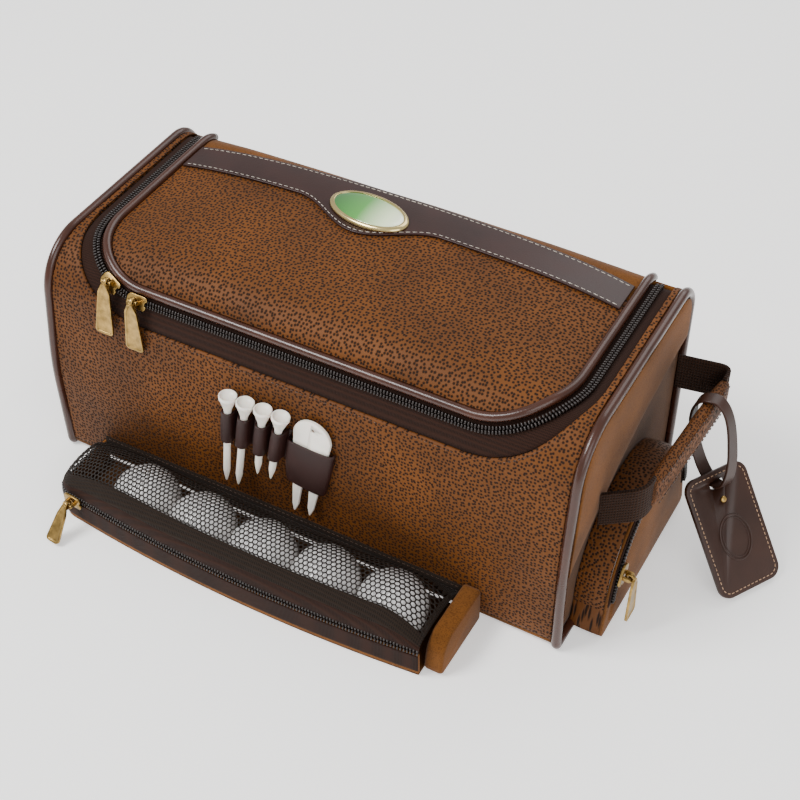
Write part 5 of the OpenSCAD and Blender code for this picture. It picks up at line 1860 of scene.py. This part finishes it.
class GOLFBAG_OT_stitching(bpy.types.Operator):
    """Running stitches of the band, the panels, the loops and the grips"""

    bl_idname = "golfbag.stitching"
    bl_label = "Stitching"

    def execute(self, context):
        form, detail = form_of(context), context.scene.golf_bag_detail
        step, length, thread = detail.stitch_step / MM, detail.stitch / MM, detail.thread / MM
        pocket = Pocket(form)
        end = form.lid_w0 - form.edge - 3
        rows = []
        for edge, inset in ((band_low, 2.0), (band_high, -2.0)):
            line = [(x, edge(form, x) + inset) for x in np.linspace(-end, end, 240)]
            path = [form.at(x, s, form.lid_h(x, s) + 1.8) for x, s in line]
            rows += march(path, [form.normal(s) for x, s in line], step)
        dress(repeat("band_stitching", pill(length, thread), rows), "lid", "sewing_thread",
              slot="dark_leather")
        rows = []
        line = form.u_line(form.tape_w + 2.4, form.tape_f + 2.4, 9, 3)
        rows += march([form.at(x, s, 0.1) for x, s in line], [form.normal(s) for x, s in line],
                      step * 0.8)
        for i in range(4):
            for x in (-5.2, 5.2):
                path = []
                for z in np.linspace(-13.5, -34.5, 12):
                    p = np.array(at_tee(form, i) @ Vector((x, 0, float(z))))
                    p[1] = form.front_y(p[2]) - 0.95
                    path.append(p)
                rows += march(path, [(0, -1, 0.1)] * len(path), step * 0.6)
        xs = np.linspace(-pocket.left + 4, pocket.right - 2, 60)
        for z in (17.3, 20.9):
            rows += march([(x, pocket.back - 1.65, z) for x in xs], [(0, -1, 0)] * 60, step * 0.8)
        thin = pill(length * 0.7, thread * 0.8)
        dress(repeat("bag_stitching", thin, rows), "bag", "brown_thread", slot="pebbled_leather")
        handle = Handle(form)
        for side, word in ((1, "right"), (-1, "left")):
            rows = []
            for z in (-8.2, 8.2):
                first, last = handle.start + handle.along * 3, handle.stop - handle.along * 3
                path = [mix(first, last, t) + np.array([4.2, 0, z]) for t in np.linspace(0, 1, 20)]
                path = [p * np.array([side, 1, 1]) for p in path]
                rows += march(path, [(side, 0, 0.35 * np.sign(z))] * 20, step * 0.9)
            thin = pill(length * 0.8, thread)
            dress(repeat(word + "_grip_stitching", thin, rows), word + "_handle",
                  "brown_thread", slot="pebbled_leather")
        return {"FINISHED"}


# ---- Linings and stage ---------------------------------------------------------------------


class GOLFBAG_OT_linings(bpy.types.Operator):
    """Cloth and board finishes of the inner pieces that keep their modelled shape"""

    bl_idname = "golfbag.linings"
    bl_label = "Linings"

    def execute(self, context):
        for node, finish in (
            ("lining", "lining_cloth"),
            ("lid_lining", "lining_cloth"),
            ("hinge_tape", "zip_tape"),
            ("base_board", "board"),
        ):
            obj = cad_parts[node]
            if not obj.material_slots:
                obj.data.materials.append(None)
            for slot in obj.material_slots:
                slot.material = finishes[finish]
        return {"FINISHED"}


class GOLFBAG_OT_stage(bpy.types.Operator):
    """Pale floor, soft lights and the camera"""

    bl_idname = "golfbag.stage"
    bl_label = "Stage"

    def execute(self, context):
        scene = context.scene
        tree, shader, where = new_finish(
            "pale_floor",
            {"Roughness": 0.85, "Specular IOR Level": 0.1, "Emission Color": (1, 1, 1, 1),
             "Emission Strength": 0.5},
        )
        cloud = add_node(tree, "TexNoise", None, {"Vector": where.outputs["Object"], "Scale": 3.0})
        tone = add_node(
            tree, "ValToRGB", {"stops": [(0.0, linear("#f1f0ee")), (1.0, linear("#f6f5f3"))]},
            {"Fac": cloud.outputs["Fac"]}
        )
        feed(tree, shader, tone.outputs["Color"])
        clear()
        bpy.ops.mesh.primitive_plane_add(size=8, location=(0, 0, -0.0004))
        floor = bpy.context.object
        floor.name = floor.data.name = "floor"
        floor.data.materials.append(finishes["pale_floor"])
        for name, place, power, width in (
            ("key_light", (-0.75, -0.75, 1.5), 34, 0.7),
            ("fill_light", (1.3, -0.9, 1.0), 14, 1.2),
            ("back_light", (0.2, 1.3, 1.3), 12, 1.2),
        ):
            light = bpy.data.objects.new(name, bpy.data.lights.new(name, "AREA"))
            light.data.energy, light.data.size = power, width
            light.location = place
            light.rotation_mode = "QUATERNION"
            light.rotation_quaternion = (Vector((0, 0,
                                                 0.05)) - Vector(place)).to_track_quat("-Z", "Y")
            scene.collection.objects.link(light)
        world = bpy.data.worlds.new("studio")
        world.use_nodes = True
        world.node_tree.nodes["Background"].inputs["Color"].default_value = (1, 1, 1, 1)
        world.node_tree.nodes["Background"].inputs["Strength"].default_value = 0.7
        scene.world = world
        camera = bpy.data.objects.new("camera", bpy.data.cameras.new("camera"))
        camera.data.lens, camera.data.sensor_width = 66.2, 36
        camera.location = (0.3607, -0.5788, 0.6861)
        look = Vector((0.0632, -0.0625, 0.12945)) - camera.location
        camera.rotation_mode = "QUATERNION"
        roll = Quaternion((0, 0, 1), math.radians(-0.82))
        camera.rotation_quaternion = look.to_track_quat("-Z", "Y") @ roll
        scene.collection.objects.link(camera)
        scene.camera = camera
        return {"FINISHED"}


class GOLFBAG_PT_sidebar(bpy.types.Panel):
    """Lists the sizes, the colours and the pieces in the order they are made"""

    bl_label = "Golf Bag"
    bl_idname = "GOLFBAG_PT_sidebar"
    bl_space_type = "VIEW_3D"
    bl_region_type = "UI"
    bl_category = "Golf Bag"

    def draw(self, context):
        for group in (context.scene.golf_bag_form, context.scene.golf_bag_detail,
                      context.scene.golf_bag_colour):
            box = self.layout.box()
            for name in group.__annotations__:
                box.prop(group, name)
        for maker in MAKERS:
            self.layout.operator(maker.bl_idname)


MAKERS = (
    GOLFBAG_OT_stage, GOLFBAG_OT_body, GOLFBAG_OT_piping, GOLFBAG_OT_lid, GOLFBAG_OT_lid_zip,
    GOLFBAG_OT_pulls, GOLFBAG_OT_tees, GOLFBAG_OT_tool, GOLFBAG_OT_pocket, GOLFBAG_OT_net,
    GOLFBAG_OT_balls, GOLFBAG_OT_end_pocket, GOLFBAG_OT_handles, GOLFBAG_OT_tag,
    GOLFBAG_OT_stitching, GOLFBAG_OT_linings,
)
GROUPS = (GolfBagForm, GolfBagDetail, GolfBagColour)


def register():
    for kind in (*GROUPS, *MAKERS, GOLFBAG_PT_sidebar):
        bpy.utils.register_class(kind)
    bpy.types.Scene.golf_bag_form = PointerProperty(type=GolfBagForm)
    bpy.types.Scene.golf_bag_detail = PointerProperty(type=GolfBagDetail)
    bpy.types.Scene.golf_bag_colour = PointerProperty(type=GolfBagColour)


def unregister():
    del bpy.types.Scene.golf_bag_colour
    del bpy.types.Scene.golf_bag_detail
    del bpy.types.Scene.golf_bag_form
    for kind in reversed((*GROUPS, *MAKERS, GOLFBAG_PT_sidebar)):
        bpy.utils.unregister_class(kind)


def main():
    register()
    make_finishes(bpy.context.scene.golf_bag_colour)
    for maker in MAKERS:
        group, name = maker.bl_idname.split(".")
        getattr(getattr(bpy.ops, group), name)()


if __name__ == "__main__":
    main()
